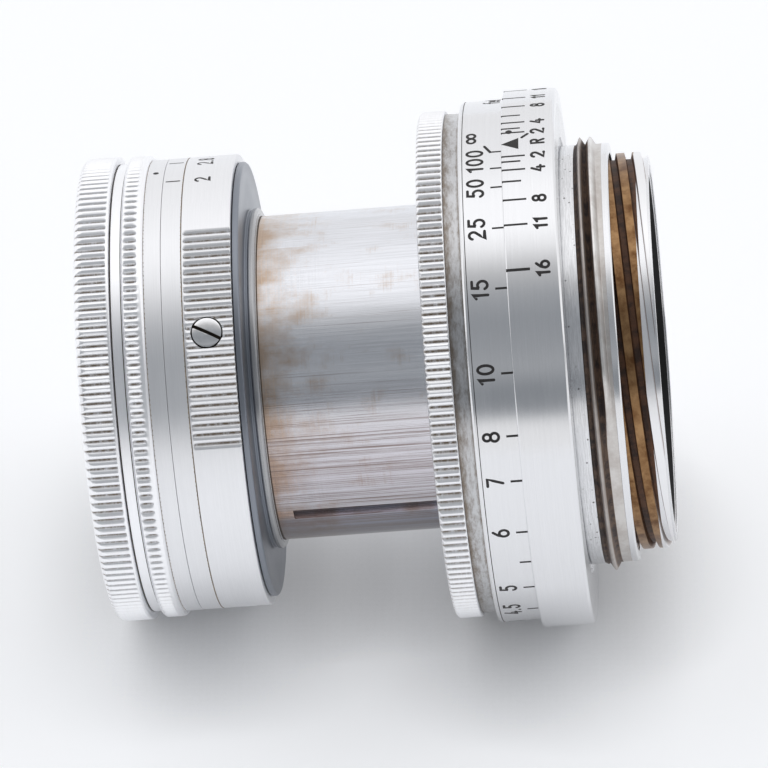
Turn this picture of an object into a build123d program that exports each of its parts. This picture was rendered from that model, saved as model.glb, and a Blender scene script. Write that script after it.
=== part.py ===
from build123d import *
from math import acos, cos, degrees, hypot, radians, sin, sqrt, tan
import os

# Collapsible 50 mm screw-mount camera lens. The optical axis runs along Y, the front faces -Y,
# the index mark faces +Z, and the origin is the centre of the flange seat. Millimetres.
# Angles "phi" are clockwise seen from the front, measured from +Z.
# Rest pose: focused at infinity, tube drawn out but not locked, aperture near wide open.

os.makedirs("parts", exist_ok=True)

# ---------------------------------------------------------------- driving dimensions
RUN = 0.08              # radial running clearance between turned parts

# camera side
THREAD_R = 19.5         # M39 screw mount, crest
BOSS_R = 18.83          # M39 screw mount, root and plain bands
BOSS_END = 1.3          # plain boss in front of the thread
THREAD_END = 3.55
MOUNT_END = 4.34        # rear end of the fixed mount
MOUNT_BORE_R = 17.9
FLANGE_R = 22.6
DEPTH_RING_R = 24.13
DEPTH_RING_FRONT = -4.7
SLEEVE_R = 17.82        # focusing helicoid, crest
SLEEVE_END = 7.6
CAM_END = 7.8           # rangefinder cam face
CHAMBER_R = 15.8        # room for the tube's bayonet lugs

# focusing rings
DIST_R = 23.4
DIST_FRONT = -8.6
DIST_REAR = -1.6
BAND_R = 22.45         # smooth band between the knurl and the distance ring
GROOVE_R = 21.5        # seat of the distance ring
DIST_SCREW_Y = -8.0
KNURL_FRONT = -12.37
KNURL_REAR = -10.04
KNURL_R = 22.8

# tube
TUBE_R = 14.6
TUBE_IN_R = 13.6
TUBE_FRONT = -28.9
TUBE_REAR = -6.8
GUIDE_PHI = 108.9
GUIDE_WIDTH = 1.4
GUIDE_END = -25.85

# head
HEAD_R = 19.2
HEAD_IN_R = 18.2
RING_R = 20.35
HEAD_FRONT = -38.4
HEAD_REAR = -29.4
APERTURE_SEAM = -33.34
APERTURE_REAR = -28.98
TICK_FRONT = -35.12
INDEX_FRONT = -36.69
BEZEL_KNURL_FRONT = -38.65
BEZEL_FRONT = -39.71
FILTER_FRONT = -42.87
FILTER_R = 20.9
FILTER_THREAD_R = 19.23  # M39 x 0.5 female thread, minor radius
SCREW_PHIS = (39.0, 219.0)
SCREW_Y = -31.3

# iris
BLADES = 10
BLADE_PITCH = 0.12
BLADE_THICK = 0.09
BLADE_FRONT = -30.74
BLADE_IN_R = 10.35
BLADE_OUT_R = 13.9
BLADE_ARC = 140.0
PIVOT_R = 15.5
ARM = 4.0
IRIS_RATIO = 0.4042     # blade turn per turn of the aperture ring
REST_TURN = 6.0         # the aperture ring rests this far from wide open
FULL_TURN = 84.0

# infinity lever
LEVER_PHI = 222.0
BUTTON_R = 27.3         # radius at which the button stands


def around(phi, y=0.0):
    """Plane across the axis at y, with its x axis along phi and its y axis towards larger phi."""
    a = radians(phi)
    return Plane(origin=(0, y, 0), x_dir=(sin(a), 0, cos(a)), z_dir=(0, 1, 0))


def outward(phi, y, r):
    """Plane at radius r facing outward along phi, with its x axis towards larger phi."""
    a = radians(phi)
    return Plane(origin=(r * sin(a), y, r * cos(a)), x_dir=(cos(a), 0, -sin(a)), z_dir=(sin(a), 0, cos(a)))


def finish(part, name):
    """Label a finished piece and write it out."""
    part.label = name
    export_step(part, "parts/" + name + ".step")


def sag(radius, r):
    """Depth of a spherical surface at radius r."""
    return radius - sqrt(radius * radius - r * r)


# ---------------------------------------------------------------- fixed mount
FLANGE_FRONT = -0.8
LIP_FRONT = -1.3
FLANGE_SCREW_R = 20.85
RELIEF_R = 19.65        # run-out groove at the root of the boss, so the seat clears the thread's crest
RELIEF_DEPTH = 0.25

with BuildPart() as mount_barrel:
    with BuildSketch(Plane.XY):
        with BuildLine():
            Polyline(
                (MOUNT_BORE_R, -3.7), (19.3, -3.7), (19.3, FLANGE_FRONT), (FLANGE_R, FLANGE_FRONT),
                (FLANGE_R, 0), (RELIEF_R, 0), (RELIEF_R, -RELIEF_DEPTH), (BOSS_R, -RELIEF_DEPTH),
                (BOSS_R, BOSS_END), (THREAD_R, BOSS_END + 0.4),
                (THREAD_R, THREAD_END - 0.35), (BOSS_R, THREAD_END), (BOSS_R, MOUNT_END - 0.2),
                (BOSS_R - 0.2, MOUNT_END), (MOUNT_BORE_R, MOUNT_END), close=True)
        make_face()
    revolve(axis=Axis.Y)
    with BuildSketch(around(0, 0)):
        with PolarLocations(FLANGE_SCREW_R, 3, start_angle=30):
            Circle(0.95)
    extrude(amount=-0.45, mode=Mode.SUBTRACT)
    with BuildSketch(around(0, 0)):
        with PolarLocations(FLANGE_SCREW_R, 3, start_angle=30):
            Circle(0.5)
    extrude(amount=FLANGE_FRONT, mode=Mode.SUBTRACT)
finish(mount_barrel.part, "mount_barrel")

with BuildPart() as depth_scale_ring:
    with BuildSketch(Plane.XY):
        with BuildLine():
            Polyline(
                (FLANGE_R, FLANGE_FRONT), (19.4, FLANGE_FRONT), (19.4, LIP_FRONT), (DIST_R + 0.15, LIP_FRONT),
                (DIST_R + 0.15, DEPTH_RING_FRONT), (DEPTH_RING_R - 0.15, DEPTH_RING_FRONT),
                (DEPTH_RING_R, DEPTH_RING_FRONT + 0.15), (DEPTH_RING_R, -0.2), (DEPTH_RING_R - 0.2, 0),
                (FLANGE_R, 0), close=True)
        make_face()
    revolve(axis=Axis.Y)
    with BuildSketch(around(0, FLANGE_FRONT)):
        with PolarLocations(FLANGE_SCREW_R, 3, start_angle=30):
            Circle(0.45)
    extrude(amount=LIP_FRONT - FLANGE_FRONT, mode=Mode.SUBTRACT)
    with BuildSketch(outward(140, -2.4, DEPTH_RING_R + 0.2)):
        Circle(0.5)
    extrude(amount=-1.2, mode=Mode.SUBTRACT)
finish(depth_scale_ring.part, "depth_scale_ring")

for number in range(3):
    with BuildPart() as scale_ring_screw:
        with BuildSketch(around(30 + 120 * number, -0.02)):
            with Locations((FLANGE_SCREW_R, 0)):
                Circle(0.92)
        extrude(amount=-0.42)
        with BuildSketch(around(30 + 120 * number, -0.44)):
            with Locations((FLANGE_SCREW_R, 0)):
                Circle(0.45)
        extrude(amount=LIP_FRONT + 0.44)
        with BuildSketch(around(30 + 120 * number, -0.02)):
            with Locations((FLANGE_SCREW_R, 0)):
                Rectangle(2.0, 0.25, rotation=25 + 40 * number)
        extrude(amount=-0.25, mode=Mode.SUBTRACT)
    finish(scale_ring_screw.part, "scale_ring_screw_" + str(number + 1))

with BuildPart() as stop_screw:
    with BuildSketch(outward(140, -2.4, DEPTH_RING_R - 0.1)):
        Circle(0.5)
    extrude(amount=-0.45)
    with BuildSketch(outward(140, -2.4, DEPTH_RING_R - 0.1)):
        Rectangle(1.2, 0.2)
    extrude(amount=-0.2, mode=Mode.SUBTRACT)
finish(stop_screw.part, "stop_screw")

CATCH_FRONT = -4.4
CATCH_PLATE = 0.9
CATCH_HALF = 3.0
CATCH_FOOT = 25.1

with BuildPart() as infinity_catch:
    with BuildSketch(around(LEVER_PHI, CATCH_FRONT)):
        Circle(CATCH_FOOT)
        Circle(DEPTH_RING_R, mode=Mode.SUBTRACT)
        with Locations((CATCH_FOOT - 1, 0)):
            Rectangle(4, 2 * CATCH_HALF, mode=Mode.INTERSECT)
    extrude(amount=3.7)
    with BuildSketch(around(LEVER_PHI, CATCH_FRONT)):
        with Locations(((CATCH_FOOT - 0.3 + BUTTON_R) / 2, 0)):
            Rectangle(BUTTON_R - CATCH_FOOT + 0.3, 2 * CATCH_HALF)
        with Locations((BUTTON_R, 0)):
            Circle(CATCH_HALF - 0.6)
    extrude(amount=CATCH_PLATE)
    with BuildSketch(around(LEVER_PHI, CATCH_FRONT)):
        with Locations((BUTTON_R, 0)):
            Circle(1.05)
        with Locations((BUTTON_R, -2.2)):
            Rectangle(1.3, 4.4)
    extrude(amount=CATCH_PLATE, mode=Mode.SUBTRACT)
    for side in (-1, 1):
        with BuildSketch(outward(LEVER_PHI + 4.2 * side, -2.0, CATCH_FOOT + 1)):
            Circle(0.4)
        extrude(amount=-1.6, mode=Mode.SUBTRACT)
finish(infinity_catch.part, "infinity_catch")

for number in range(2):
    with BuildPart() as catch_screw:
        with BuildSketch(outward(LEVER_PHI - 4.2 + 8.4 * number, -2.0, CATCH_FOOT + 0.3)):
            Circle(0.75)
        extrude(amount=-0.3)
        with BuildSketch(outward(LEVER_PHI - 4.2 + 8.4 * number, -2.0, CATCH_FOOT)):
            Circle(0.4)
        extrude(amount=-0.6)
        with BuildSketch(outward(LEVER_PHI - 4.2 + 8.4 * number, -2.0, CATCH_FOOT + 0.3)):
            Rectangle(1.6, 0.2, rotation=30 + 50 * number)
        extrude(amount=-0.18, mode=Mode.SUBTRACT)
    finish(catch_screw.part, "catch_screw_" + str(number + 1))

# ---------------------------------------------------------------- rangefinder cam
NECK_R = 16.5
NECK_FRONT = 6.6

with BuildPart() as rangefinder_cam_ring:
    with BuildSketch(Plane.XY):
        with BuildLine():
            Polyline(
                (NECK_R + 0.05, NECK_FRONT + 0.05), (17.25, NECK_FRONT + 0.05), (17.25, CAM_END - 0.1),
                (17.15, CAM_END), (NECK_R + 0.05, CAM_END), close=True)
        make_face()
    revolve(axis=Axis.Y)
finish(rangefinder_cam_ring.part, "rangefinder_cam_ring")

# ---------------------------------------------------------------- focusing group
GUIDE_RING_R = 16.5
GUIDE_RING_FRONT = -11.2
GUIDE_RING_REAR = -9.5
SLEEVE_DISC_REAR = -7.7
LUG_PHIS = (30, 150, 270)
LUG_FRONT = -8.5
LUG_SLOPE = tan(radians(12))   # half width of a lug, seen from the axis
LUG_R = 15.65
LEDGE_FRONT = -6.6
LEDGE_REAR = -5.4
LEDGE_SHIFT = 26.0

with BuildPart() as helicoid_sleeve:
    with BuildSketch(Plane.XY):
        with BuildLine():
            Polyline(
                (GUIDE_RING_R + 0.1, KNURL_REAR), (BAND_R, KNURL_REAR), (BAND_R, DIST_FRONT),
                (GROOVE_R, DIST_FRONT), (GROOVE_R, SLEEVE_DISC_REAR),
                (SLEEVE_R, SLEEVE_DISC_REAR), (SLEEVE_R, NECK_FRONT), (NECK_R, NECK_FRONT),
                (NECK_R, SLEEVE_END), (CHAMBER_R, SLEEVE_END), (CHAMBER_R, -8.7),
                (TUBE_R + 0.15, -8.7), (TUBE_R + 0.15, -9.4), (GUIDE_RING_R + 0.1, -9.4), close=True)
        make_face()
    revolve(axis=Axis.Y)
    for phi in LUG_PHIS:
        with BuildSketch(around(phi + LEDGE_SHIFT, LEDGE_FRONT)):
            Circle(CHAMBER_R + 0.3)
            Circle(TUBE_R + 0.15, mode=Mode.SUBTRACT)
            Polygon((0, 0), (20, -20 * LUG_SLOPE), (20, 20 * LUG_SLOPE), align=None, mode=Mode.INTERSECT)
        extrude(amount=LEDGE_REAR - LEDGE_FRONT)
    for phi in (160, 300):
        with BuildSketch(outward(phi, DIST_SCREW_Y, GROOVE_R + 1)):
            Circle(0.5)
        extrude(amount=-2.2, mode=Mode.SUBTRACT)
finish(helicoid_sleeve.part, "helicoid_sleeve")

with BuildPart() as distance_scale_ring:
    with BuildSketch(Plane.XY):
        with BuildLine():
            Polyline(
                (GROOVE_R, DIST_FRONT), (DIST_R - 0.2, DIST_FRONT), (DIST_R, DIST_FRONT + 0.2),
                (DIST_R, DIST_REAR), (22.65, DIST_REAR), (22.65, -7.4), (GROOVE_R, -7.4), close=True)
        make_face()
    revolve(axis=Axis.Y)
    for phi in (160, 300):
        with BuildSketch(outward(phi, DIST_SCREW_Y, DIST_R + 1)):
            Circle(0.5)
        extrude(amount=-4, mode=Mode.SUBTRACT)
finish(distance_scale_ring.part, "distance_scale_ring")

for number in range(2):
    with BuildPart() as distance_ring_screw:
        with BuildSketch(outward(160 + 140 * number, DIST_SCREW_Y, DIST_R - 0.15)):
            Circle(0.38)
        extrude(amount=-2.6)
        with BuildSketch(outward(160 + 140 * number, DIST_SCREW_Y, DIST_R - 0.15)):
            Rectangle(1.2, 0.18, rotation=35)
        extrude(amount=-0.25, mode=Mode.SUBTRACT)
    finish(distance_ring_screw.part, "distance_ring_screw_" + str(number + 1))

with BuildPart() as focus_knurled_ring:
    with BuildSketch(Plane.XY):
        with BuildLine():
            Polyline(
                (TUBE_R + 0.25, KNURL_FRONT), (KNURL_R - 0.35, KNURL_FRONT), (KNURL_R, KNURL_FRONT + 0.35),
                (KNURL_R, KNURL_REAR - 0.25), (KNURL_R - 0.25, KNURL_REAR), (GUIDE_RING_R + 0.1, KNURL_REAR),
                (GUIDE_RING_R + 0.1, -11.3), (TUBE_R + 0.25, -11.3), (TUBE_R + 0.25, -11.6),
                (15.6, -11.6), (15.6, -12.0), (TUBE_R + 0.25, -12.0), close=True)
        make_face()
    revolve(axis=Axis.Y)
finish(focus_knurled_ring.part, "focus_knurled_ring")

with BuildPart() as tube_light_seal:
    with BuildSketch(Plane.XY):
        with BuildLine():
            Polyline((TUBE_R + 0.06, -12.0), (15.6, -12.0), (15.6, -11.6), (TUBE_R + 0.06, -11.6), close=True)
        make_face()
    revolve(axis=Axis.Y)
finish(tube_light_seal.part, "tube_light_seal")

LEVER_FRONT = -7.5
LEVER_REAR = -5.1
LEVER_FOOT = 24.5
CUP_R = 2.5
CUP_FRONT = -9.6
CUP_FLOOR = -5.9
CAP_R = 1.95
STEM_R = 0.55
CAP_FRONT = -10.8
CAP_REAR = -8.5
PEG_FRONT = -4.3
PEG_R = 0.97
LEVER_SCREW_Y = -6.3
LEVER_SCREW_ANGLE = 10.5

with BuildPart() as focus_lever:
    with BuildSketch(around(LEVER_PHI, LEVER_FRONT)):
        Circle(LEVER_FOOT)
        Circle(DIST_R, mode=Mode.SUBTRACT)
        with Locations((LEVER_FOOT - 1.5, 0)):
            Rectangle(6, 12, mode=Mode.INTERSECT)
    extrude(amount=LEVER_REAR - LEVER_FRONT)
    with BuildSketch(around(LEVER_PHI, LEVER_FRONT)):
        with BuildLine():
            Polyline((24.0, -3.4), (BUTTON_R, -CUP_R), (BUTTON_R, CUP_R), (24.0, 3.4), close=True)
        make_face()
        with Locations((BUTTON_R, 0)):
            Circle(CUP_R)
    extrude(amount=LEVER_REAR - LEVER_FRONT)
    with BuildSketch(around(LEVER_PHI, CUP_FRONT)):
        with Locations((BUTTON_R, 0)):
            Circle(CUP_R)
    extrude(amount=LEVER_REAR - CUP_FRONT)
    with BuildSketch(around(LEVER_PHI, CUP_FRONT)):
        with Locations((BUTTON_R, 0)):
            Circle(CAP_R + RUN)
    extrude(amount=CUP_FLOOR - CUP_FRONT, mode=Mode.SUBTRACT)
    with BuildSketch(around(LEVER_PHI, CUP_FRONT)):
        with Locations((BUTTON_R, 0)):
            Circle(STEM_R + RUN)
    extrude(amount=LEVER_REAR - CUP_FRONT, mode=Mode.SUBTRACT)
    for side in (-1, 1):
        with BuildSketch(outward(LEVER_PHI + LEVER_SCREW_ANGLE * side, LEVER_SCREW_Y, LEVER_FOOT + 1)):
            Circle(0.45)
        extrude(amount=-2.6, mode=Mode.SUBTRACT)
finish(focus_lever.part, "focus_lever")

for number in range(2):
    phi = LEVER_PHI + LEVER_SCREW_ANGLE * (2 * number - 1)
    with BuildPart() as lever_screw:
        with BuildSketch(outward(phi, LEVER_SCREW_Y, LEVER_FOOT + 0.3)):
            Circle(0.8)
        extrude(amount=-0.3)
        with BuildSketch(outward(phi, LEVER_SCREW_Y, LEVER_FOOT)):
            Circle(0.45)
        extrude(amount=-1.0)
        with BuildSketch(outward(phi, LEVER_SCREW_Y, LEVER_FOOT + 0.3)):
            Rectangle(1.8, 0.22, rotation=20 + 60 * number)
        extrude(amount=-0.18, mode=Mode.SUBTRACT)
    finish(lever_screw.part, "lever_screw_" + str(number + 1))

with BuildPart() as infinity_button:
    with BuildSketch(around(LEVER_PHI, CAP_FRONT)):
        with Locations((BUTTON_R, 0)):
            Circle(CAP_R)
    extrude(amount=CAP_REAR - CAP_FRONT)
    with BuildSketch(around(LEVER_PHI, CAP_REAR)):
        with Locations((BUTTON_R, 0)):
            Circle(STEM_R)
    extrude(amount=PEG_FRONT - CAP_REAR)
    with BuildSketch(around(LEVER_PHI, PEG_FRONT)):
        with Locations((BUTTON_R, 0)):
            Circle(PEG_R)
    extrude(amount=0.9)
    fillet(infinity_button.edges().filter_by(GeomType.CIRCLE).group_by(Axis.Y)[0], 0.45)
finish(infinity_button.part, "infinity_button")

SPRING_R = 1.25
SPRING_WIRE = 0.16
SPRING_GAP = 0.3         # from the cap and the floor to the middle of the end coils
SPRING_LENGTH = CUP_FLOOR - CAP_REAR - 2 * SPRING_GAP
spring_base = outward(LEVER_PHI, CAP_REAR + SPRING_GAP, BUTTON_R).origin

with BuildPart() as button_spring:
    with BuildLine() as spring_path:
        Helix(
            pitch=SPRING_LENGTH / 4, height=SPRING_LENGTH, radius=SPRING_R, center=spring_base,
            direction=(0, 1, 0))
    with BuildSketch(Plane(origin=spring_path.line @ 0, z_dir=spring_path.line % 0)):
        Circle(SPRING_WIRE)
    sweep(is_frenet=True)
finish(button_spring.part, "button_spring")

# ---------------------------------------------------------------- tube guide
with BuildPart() as tube_guide_ring:
    with BuildSketch(Plane.XY):
        with BuildLine():
            Polyline(
                (TUBE_R + RUN, GUIDE_RING_FRONT), (GUIDE_RING_R, GUIDE_RING_FRONT),
                (GUIDE_RING_R, GUIDE_RING_REAR), (TUBE_R + RUN, GUIDE_RING_REAR), close=True)
        make_face()
    revolve(axis=Axis.Y)
    with BuildSketch(around(GUIDE_PHI, GUIDE_RING_FRONT)):
        with Locations((15, 0)):
            Rectangle(1.4, GUIDE_WIDTH - 0.1)
    extrude(amount=GUIDE_RING_REAR - GUIDE_RING_FRONT, mode=Mode.SUBTRACT)
finish(tube_guide_ring.part, "tube_guide_ring")

with BuildPart() as guide_key:
    with BuildSketch(around(GUIDE_PHI, -10.6)):
        with Locations((14.92, 0)):
            Rectangle(1.54, GUIDE_WIDTH - 0.1)
    extrude(amount=0.9)
finish(guide_key.part, "guide_key")

# ---------------------------------------------------------------- collapsing tube and head
with BuildPart() as collapsing_tube:
    with BuildSketch(Plane.XY):
        with BuildLine():
            Polyline(
                (TUBE_IN_R, TUBE_FRONT), (TUBE_R, TUBE_FRONT), (TUBE_R, TUBE_REAR), (TUBE_IN_R, TUBE_REAR),
                close=True)
        make_face()
    revolve(axis=Axis.Y)
    with BuildSketch(around(GUIDE_PHI, GUIDE_END)):
        with Locations((TUBE_R, 0)):
            Rectangle(1.1, GUIDE_WIDTH)
    extrude(amount=TUBE_REAR - GUIDE_END, mode=Mode.SUBTRACT)
    for phi in LUG_PHIS:
        with BuildSketch(around(phi, LUG_FRONT)):
            Circle(LUG_R)
            Circle(TUBE_R - 0.3, mode=Mode.SUBTRACT)
            Polygon((0, 0), (20, -20 * LUG_SLOPE), (20, 20 * LUG_SLOPE), align=None, mode=Mode.INTERSECT)
        extrude(amount=TUBE_REAR - LUG_FRONT)
finish(collapsing_tube.part, "collapsing_tube")

FLANGE_Y = -28.9
COLLAR_R = 15.35
COLLAR_END = -27.6

with BuildPart() as head_collar:
    with BuildSketch(Plane.XY):
        with BuildLine():
            Polyline(
                (TUBE_R, FLANGE_Y), (19.6, FLANGE_Y), (19.6, FLANGE_Y + 0.35), (19.45, FLANGE_Y + 0.5),
                (COLLAR_R, FLANGE_Y + 0.5), (COLLAR_R, COLLAR_END - 0.25), (COLLAR_R - 0.25, COLLAR_END),
                (TUBE_R, COLLAR_END), close=True)
        make_face()
    revolve(axis=Axis.Y)
finish(head_collar.part, "head_collar")

SLOT_START = SCREW_PHIS[0] - REST_TURN - 3.5
SLOT_SPAN = FULL_TURN + 7

with BuildPart() as head_barrel:
    with BuildSketch(Plane.XY):
        with BuildLine():
            Polyline(
                (HEAD_IN_R, HEAD_FRONT), (HEAD_R, HEAD_FRONT), (HEAD_R, HEAD_REAR), (HEAD_IN_R, HEAD_REAR),
                close=True)
        make_face()
    revolve(axis=Axis.Y)
    for start in (SLOT_START, SLOT_START + 180):
        with BuildSketch(around(start, SCREW_Y - 0.75)):
            with BuildLine():
                Line((17, 0), (21, 0))
                CenterArc((0, 0), 21, 0, SLOT_SPAN)
                Line((21 * cos(radians(SLOT_SPAN)), 21 * sin(radians(SLOT_SPAN))),
                     (17 * cos(radians(SLOT_SPAN)), 17 * sin(radians(SLOT_SPAN))))
                CenterArc((0, 0), 17, 0, SLOT_SPAN)
            make_face()
        extrude(amount=1.5, mode=Mode.SUBTRACT)
finish(head_barrel.part, "head_barrel")

with BuildPart() as index_ring:
    with BuildSketch(Plane.XY):
        with BuildLine():
            Polyline(
                (HEAD_R, INDEX_FRONT), (RING_R, INDEX_FRONT), (RING_R, TICK_FRONT - 0.13),
                (RING_R - 0.1, TICK_FRONT - 0.03), (HEAD_R, TICK_FRONT - 0.03), close=True)
        make_face()
    revolve(axis=Axis.Y)
finish(index_ring.part, "index_ring")

with BuildPart() as front_bezel:
    with BuildSketch(Plane.XY):
        with BuildLine():
            Polyline(
                (19.4, BEZEL_FRONT), (20.2, BEZEL_FRONT), (20.2, BEZEL_KNURL_FRONT),
                (20.6, BEZEL_KNURL_FRONT), (20.8, BEZEL_KNURL_FRONT + 0.2), (20.8, INDEX_FRONT - 0.2),
                (20.6, INDEX_FRONT), (HEAD_R, INDEX_FRONT), (HEAD_R, HEAD_FRONT), (19.4, HEAD_FRONT),
                close=True)
        make_face()
    revolve(axis=Axis.Y)
finish(front_bezel.part, "front_bezel")

FILTER_GLASS_FRONT = -41.3
FILTER_GLASS_REAR = -40.3
FILTER_TAIL = -38.85
FILTER_SEAT_FRONT = -41.72
FILTER_SEAT_R = 19.0     # bore that holds the glass and its retaining ring

with BuildPart() as filter_ring:
    with BuildSketch(Plane.XY):
        with BuildLine():
            Polyline(
                (FILTER_THREAD_R + 0.25, FILTER_FRONT), (FILTER_THREAD_R, FILTER_FRONT + 0.25),
                (FILTER_THREAD_R, FILTER_SEAT_FRONT), (FILTER_SEAT_R, FILTER_SEAT_FRONT),
                (FILTER_SEAT_R, FILTER_GLASS_REAR), (17.9, FILTER_GLASS_REAR), (17.9, FILTER_TAIL),
                (19.35, FILTER_TAIL), (19.35, BEZEL_FRONT), (FILTER_R - 0.2, BEZEL_FRONT),
                (FILTER_R, BEZEL_FRONT - 0.2), (FILTER_R, FILTER_FRONT + 0.8))
            RadiusArc((FILTER_R, FILTER_FRONT + 0.8), (FILTER_R - 0.8, FILTER_FRONT), 0.8)
            Line((FILTER_R - 0.8, FILTER_FRONT), (FILTER_THREAD_R + 0.25, FILTER_FRONT))
        make_face()
    revolve(axis=Axis.Y)
finish(filter_ring.part, "filter_ring")

with BuildPart() as filter_glass:
    with BuildSketch(around(0, FILTER_GLASS_FRONT)):
        Circle(FILTER_SEAT_R - 0.02)
    extrude(amount=FILTER_GLASS_REAR - FILTER_GLASS_FRONT)
finish(filter_glass.part, "filter_glass")

with BuildPart() as filter_retaining_ring:
    with BuildSketch(around(0, FILTER_GLASS_FRONT - 0.4)):
        Circle(FILTER_SEAT_R - 0.01)
        Circle(18.3, mode=Mode.SUBTRACT)
        with PolarLocations(18.3, 2):
            Rectangle(0.9, 0.7, mode=Mode.SUBTRACT)
    extrude(amount=0.4)
finish(filter_retaining_ring.part, "filter_retaining_ring")

with BuildPart() as name_ring:
    with BuildSketch(Plane.XY):
        with BuildLine():
            Polyline(
                (13.9, -38.75), (17.7, -39.9), (17.8, -39.9), (17.8, -38.75), (18.15, -38.75),
                (18.15, -38.4), (13.5, -38.4), (13.5, -38.75), close=True)
        make_face()
    revolve(axis=Axis.Y)
finish(name_ring.part, "name_ring")

# ---------------------------------------------------------------- lens elements and cells
# name, front vertex, rear vertex, front radius, rear radius (both centred behind the lens), edge radius
RIM_3 = 1.2              # flat rim of lens_3, by which its cell holds it
FRONT_LENSES = (
    ("lens_1", -40.0, -37.3, 36.0, 90.0, 13.4),
    ("lens_2", -37.25, -35.25, 26.0, 60.0, 11.2),
    ("lens_3", -35.05, -34.46, 55.0, 14.5, 9.4),
)

for name, front, rear, front_curve, rear_curve, edge in FRONT_LENSES:
    front_edge = front + sag(front_curve, edge)
    rear_edge = rear + sag(rear_curve, edge)
    with BuildPart() as lens:
        with BuildSketch(Plane.XY):
            with BuildLine():
                Line((0, rear), (0, front))
                ThreePointArc((0, front), (edge / 2, front + sag(front_curve, edge / 2)), (edge, front_edge))
                if name == "lens_3":
                    Polyline(
                        (edge, front_edge), (edge + RIM_3, front_edge), (edge + RIM_3, rear_edge),
                        (edge, rear_edge))
                else:
                    Line((edge, front_edge), (edge, rear_edge))
                ThreePointArc((edge, rear_edge), (edge / 2, rear + sag(rear_curve, edge / 2)), (0, rear))
            make_face()
        revolve(axis=Axis.Y)
    finish(lens.part, name)

with BuildPart() as front_cell:
    with BuildSketch(Plane.XY):
        with BuildLine():
            Polyline(
                (13.45, -38.35), (HEAD_IN_R - 0.02, -38.35), (HEAD_IN_R - 0.02, -32.2), (13.6, -32.2),
                (13.6, -30.95), (10.65, -30.95), (10.65, -34.15), (11.25, -34.15), (11.25, -35.9),
                (13.45, -35.9), close=True)
        make_face()
    revolve(axis=Axis.Y)
finish(front_cell.part, "front_cell")

with BuildPart() as front_spacer:
    with BuildSketch(Plane.XY):
        with BuildLine():
            Polyline((11.9, -36.25), (13.4, -36.25), (13.4, -35.9), (11.9, -35.9), close=True)
        make_face()
    revolve(axis=Axis.Y)
finish(front_spacer.part, "front_spacer")

CEMENT = -24.0
L4_EDGE = 9.4
L4_VERTEX = -24.98
L4_RIM = L4_VERTEX - sag(14.0, L4_EDGE)
L5_EDGE = 10.2
L5_VERTEX = -17.6
L6_FRONT = -17.2
L6_REAR = -13.4
L6_EDGE = 10.0
L7_FRONT = -13.1
L7_REAR = -9.6
L7_EDGE = 9.8

with BuildPart() as lens_4:
    with BuildSketch(Plane.XY):
        with BuildLine():
            Line((0, CEMENT), (0, L4_VERTEX))
            ThreePointArc((0, L4_VERTEX), (5, L4_VERTEX - sag(14.0, 5)), (L4_EDGE, L4_RIM))
            Polyline((L4_EDGE, L4_RIM), (L5_EDGE, L4_RIM), (L5_EDGE, CEMENT), (0, CEMENT))
        make_face()
    revolve(axis=Axis.Y)
finish(lens_4.part, "lens_4")

with BuildPart() as lens_5:
    with BuildSketch(Plane.XY):
        with BuildLine():
            Polyline(
                (0, L5_VERTEX), (0, CEMENT), (L5_EDGE, CEMENT), (L5_EDGE, L5_VERTEX - sag(20.0, L5_EDGE)))
            ThreePointArc(
                (L5_EDGE, L5_VERTEX - sag(20.0, L5_EDGE)), (5, L5_VERTEX - sag(20.0, 5)), (0, L5_VERTEX))
        make_face()
    revolve(axis=Axis.Y)
finish(lens_5.part, "lens_5")

with BuildPart() as lens_6:
    with BuildSketch(Plane.XY):
        with BuildLine():
            Line((0, L6_REAR), (0, L6_FRONT))
            ThreePointArc(
                (0, L6_FRONT), (5, L6_FRONT - sag(70.0, 5)), (L6_EDGE, L6_FRONT - sag(70.0, L6_EDGE)))
            Line((L6_EDGE, L6_FRONT - sag(70.0, L6_EDGE)), (L6_EDGE, L6_REAR - sag(28.0, L6_EDGE)))
            ThreePointArc((L6_EDGE, L6_REAR - sag(28.0, L6_EDGE)), (5, L6_REAR - sag(28.0, 5)), (0, L6_REAR))
        make_face()
    revolve(axis=Axis.Y)
finish(lens_6.part, "lens_6")

with BuildPart() as lens_7:
    with BuildSketch(Plane.XY):
        with BuildLine():
            Line((0, L7_REAR), (0, L7_FRONT))
            ThreePointArc(
                (0, L7_FRONT), (5, L7_FRONT + sag(45.0, 5)), (L7_EDGE, L7_FRONT + sag(45.0, L7_EDGE)))
            Line((L7_EDGE, L7_FRONT + sag(45.0, L7_EDGE)), (L7_EDGE, L7_REAR - sag(80.0, L7_EDGE)))
            ThreePointArc((L7_EDGE, L7_REAR - sag(80.0, L7_EDGE)), (5, L7_REAR - sag(80.0, 5)), (0, L7_REAR))
        make_face()
    revolve(axis=Axis.Y)
finish(lens_7.part, "lens_7")

CELL_R = 12.9            # rear cell, behind its seat in the tube

with BuildPart() as rear_cell:
    with BuildSketch(Plane.XY):
        with BuildLine():
            Polyline(
                (L5_EDGE + 0.05, FLANGE_Y + 0.1), (TUBE_IN_R - 0.02, FLANGE_Y + 0.1), (TUBE_IN_R - 0.02, -26.5),
                (CELL_R, -26.5), (CELL_R, -8.8), (L7_EDGE + 0.05, -8.8), (L7_EDGE + 0.05, -13.2),
                (L6_EDGE + 0.05, -13.2), (L6_EDGE + 0.05, -17.9), (L5_EDGE + 0.05, -17.9), close=True)
        make_face()
    revolve(axis=Axis.Y)
finish(rear_cell.part, "rear_cell")

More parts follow.
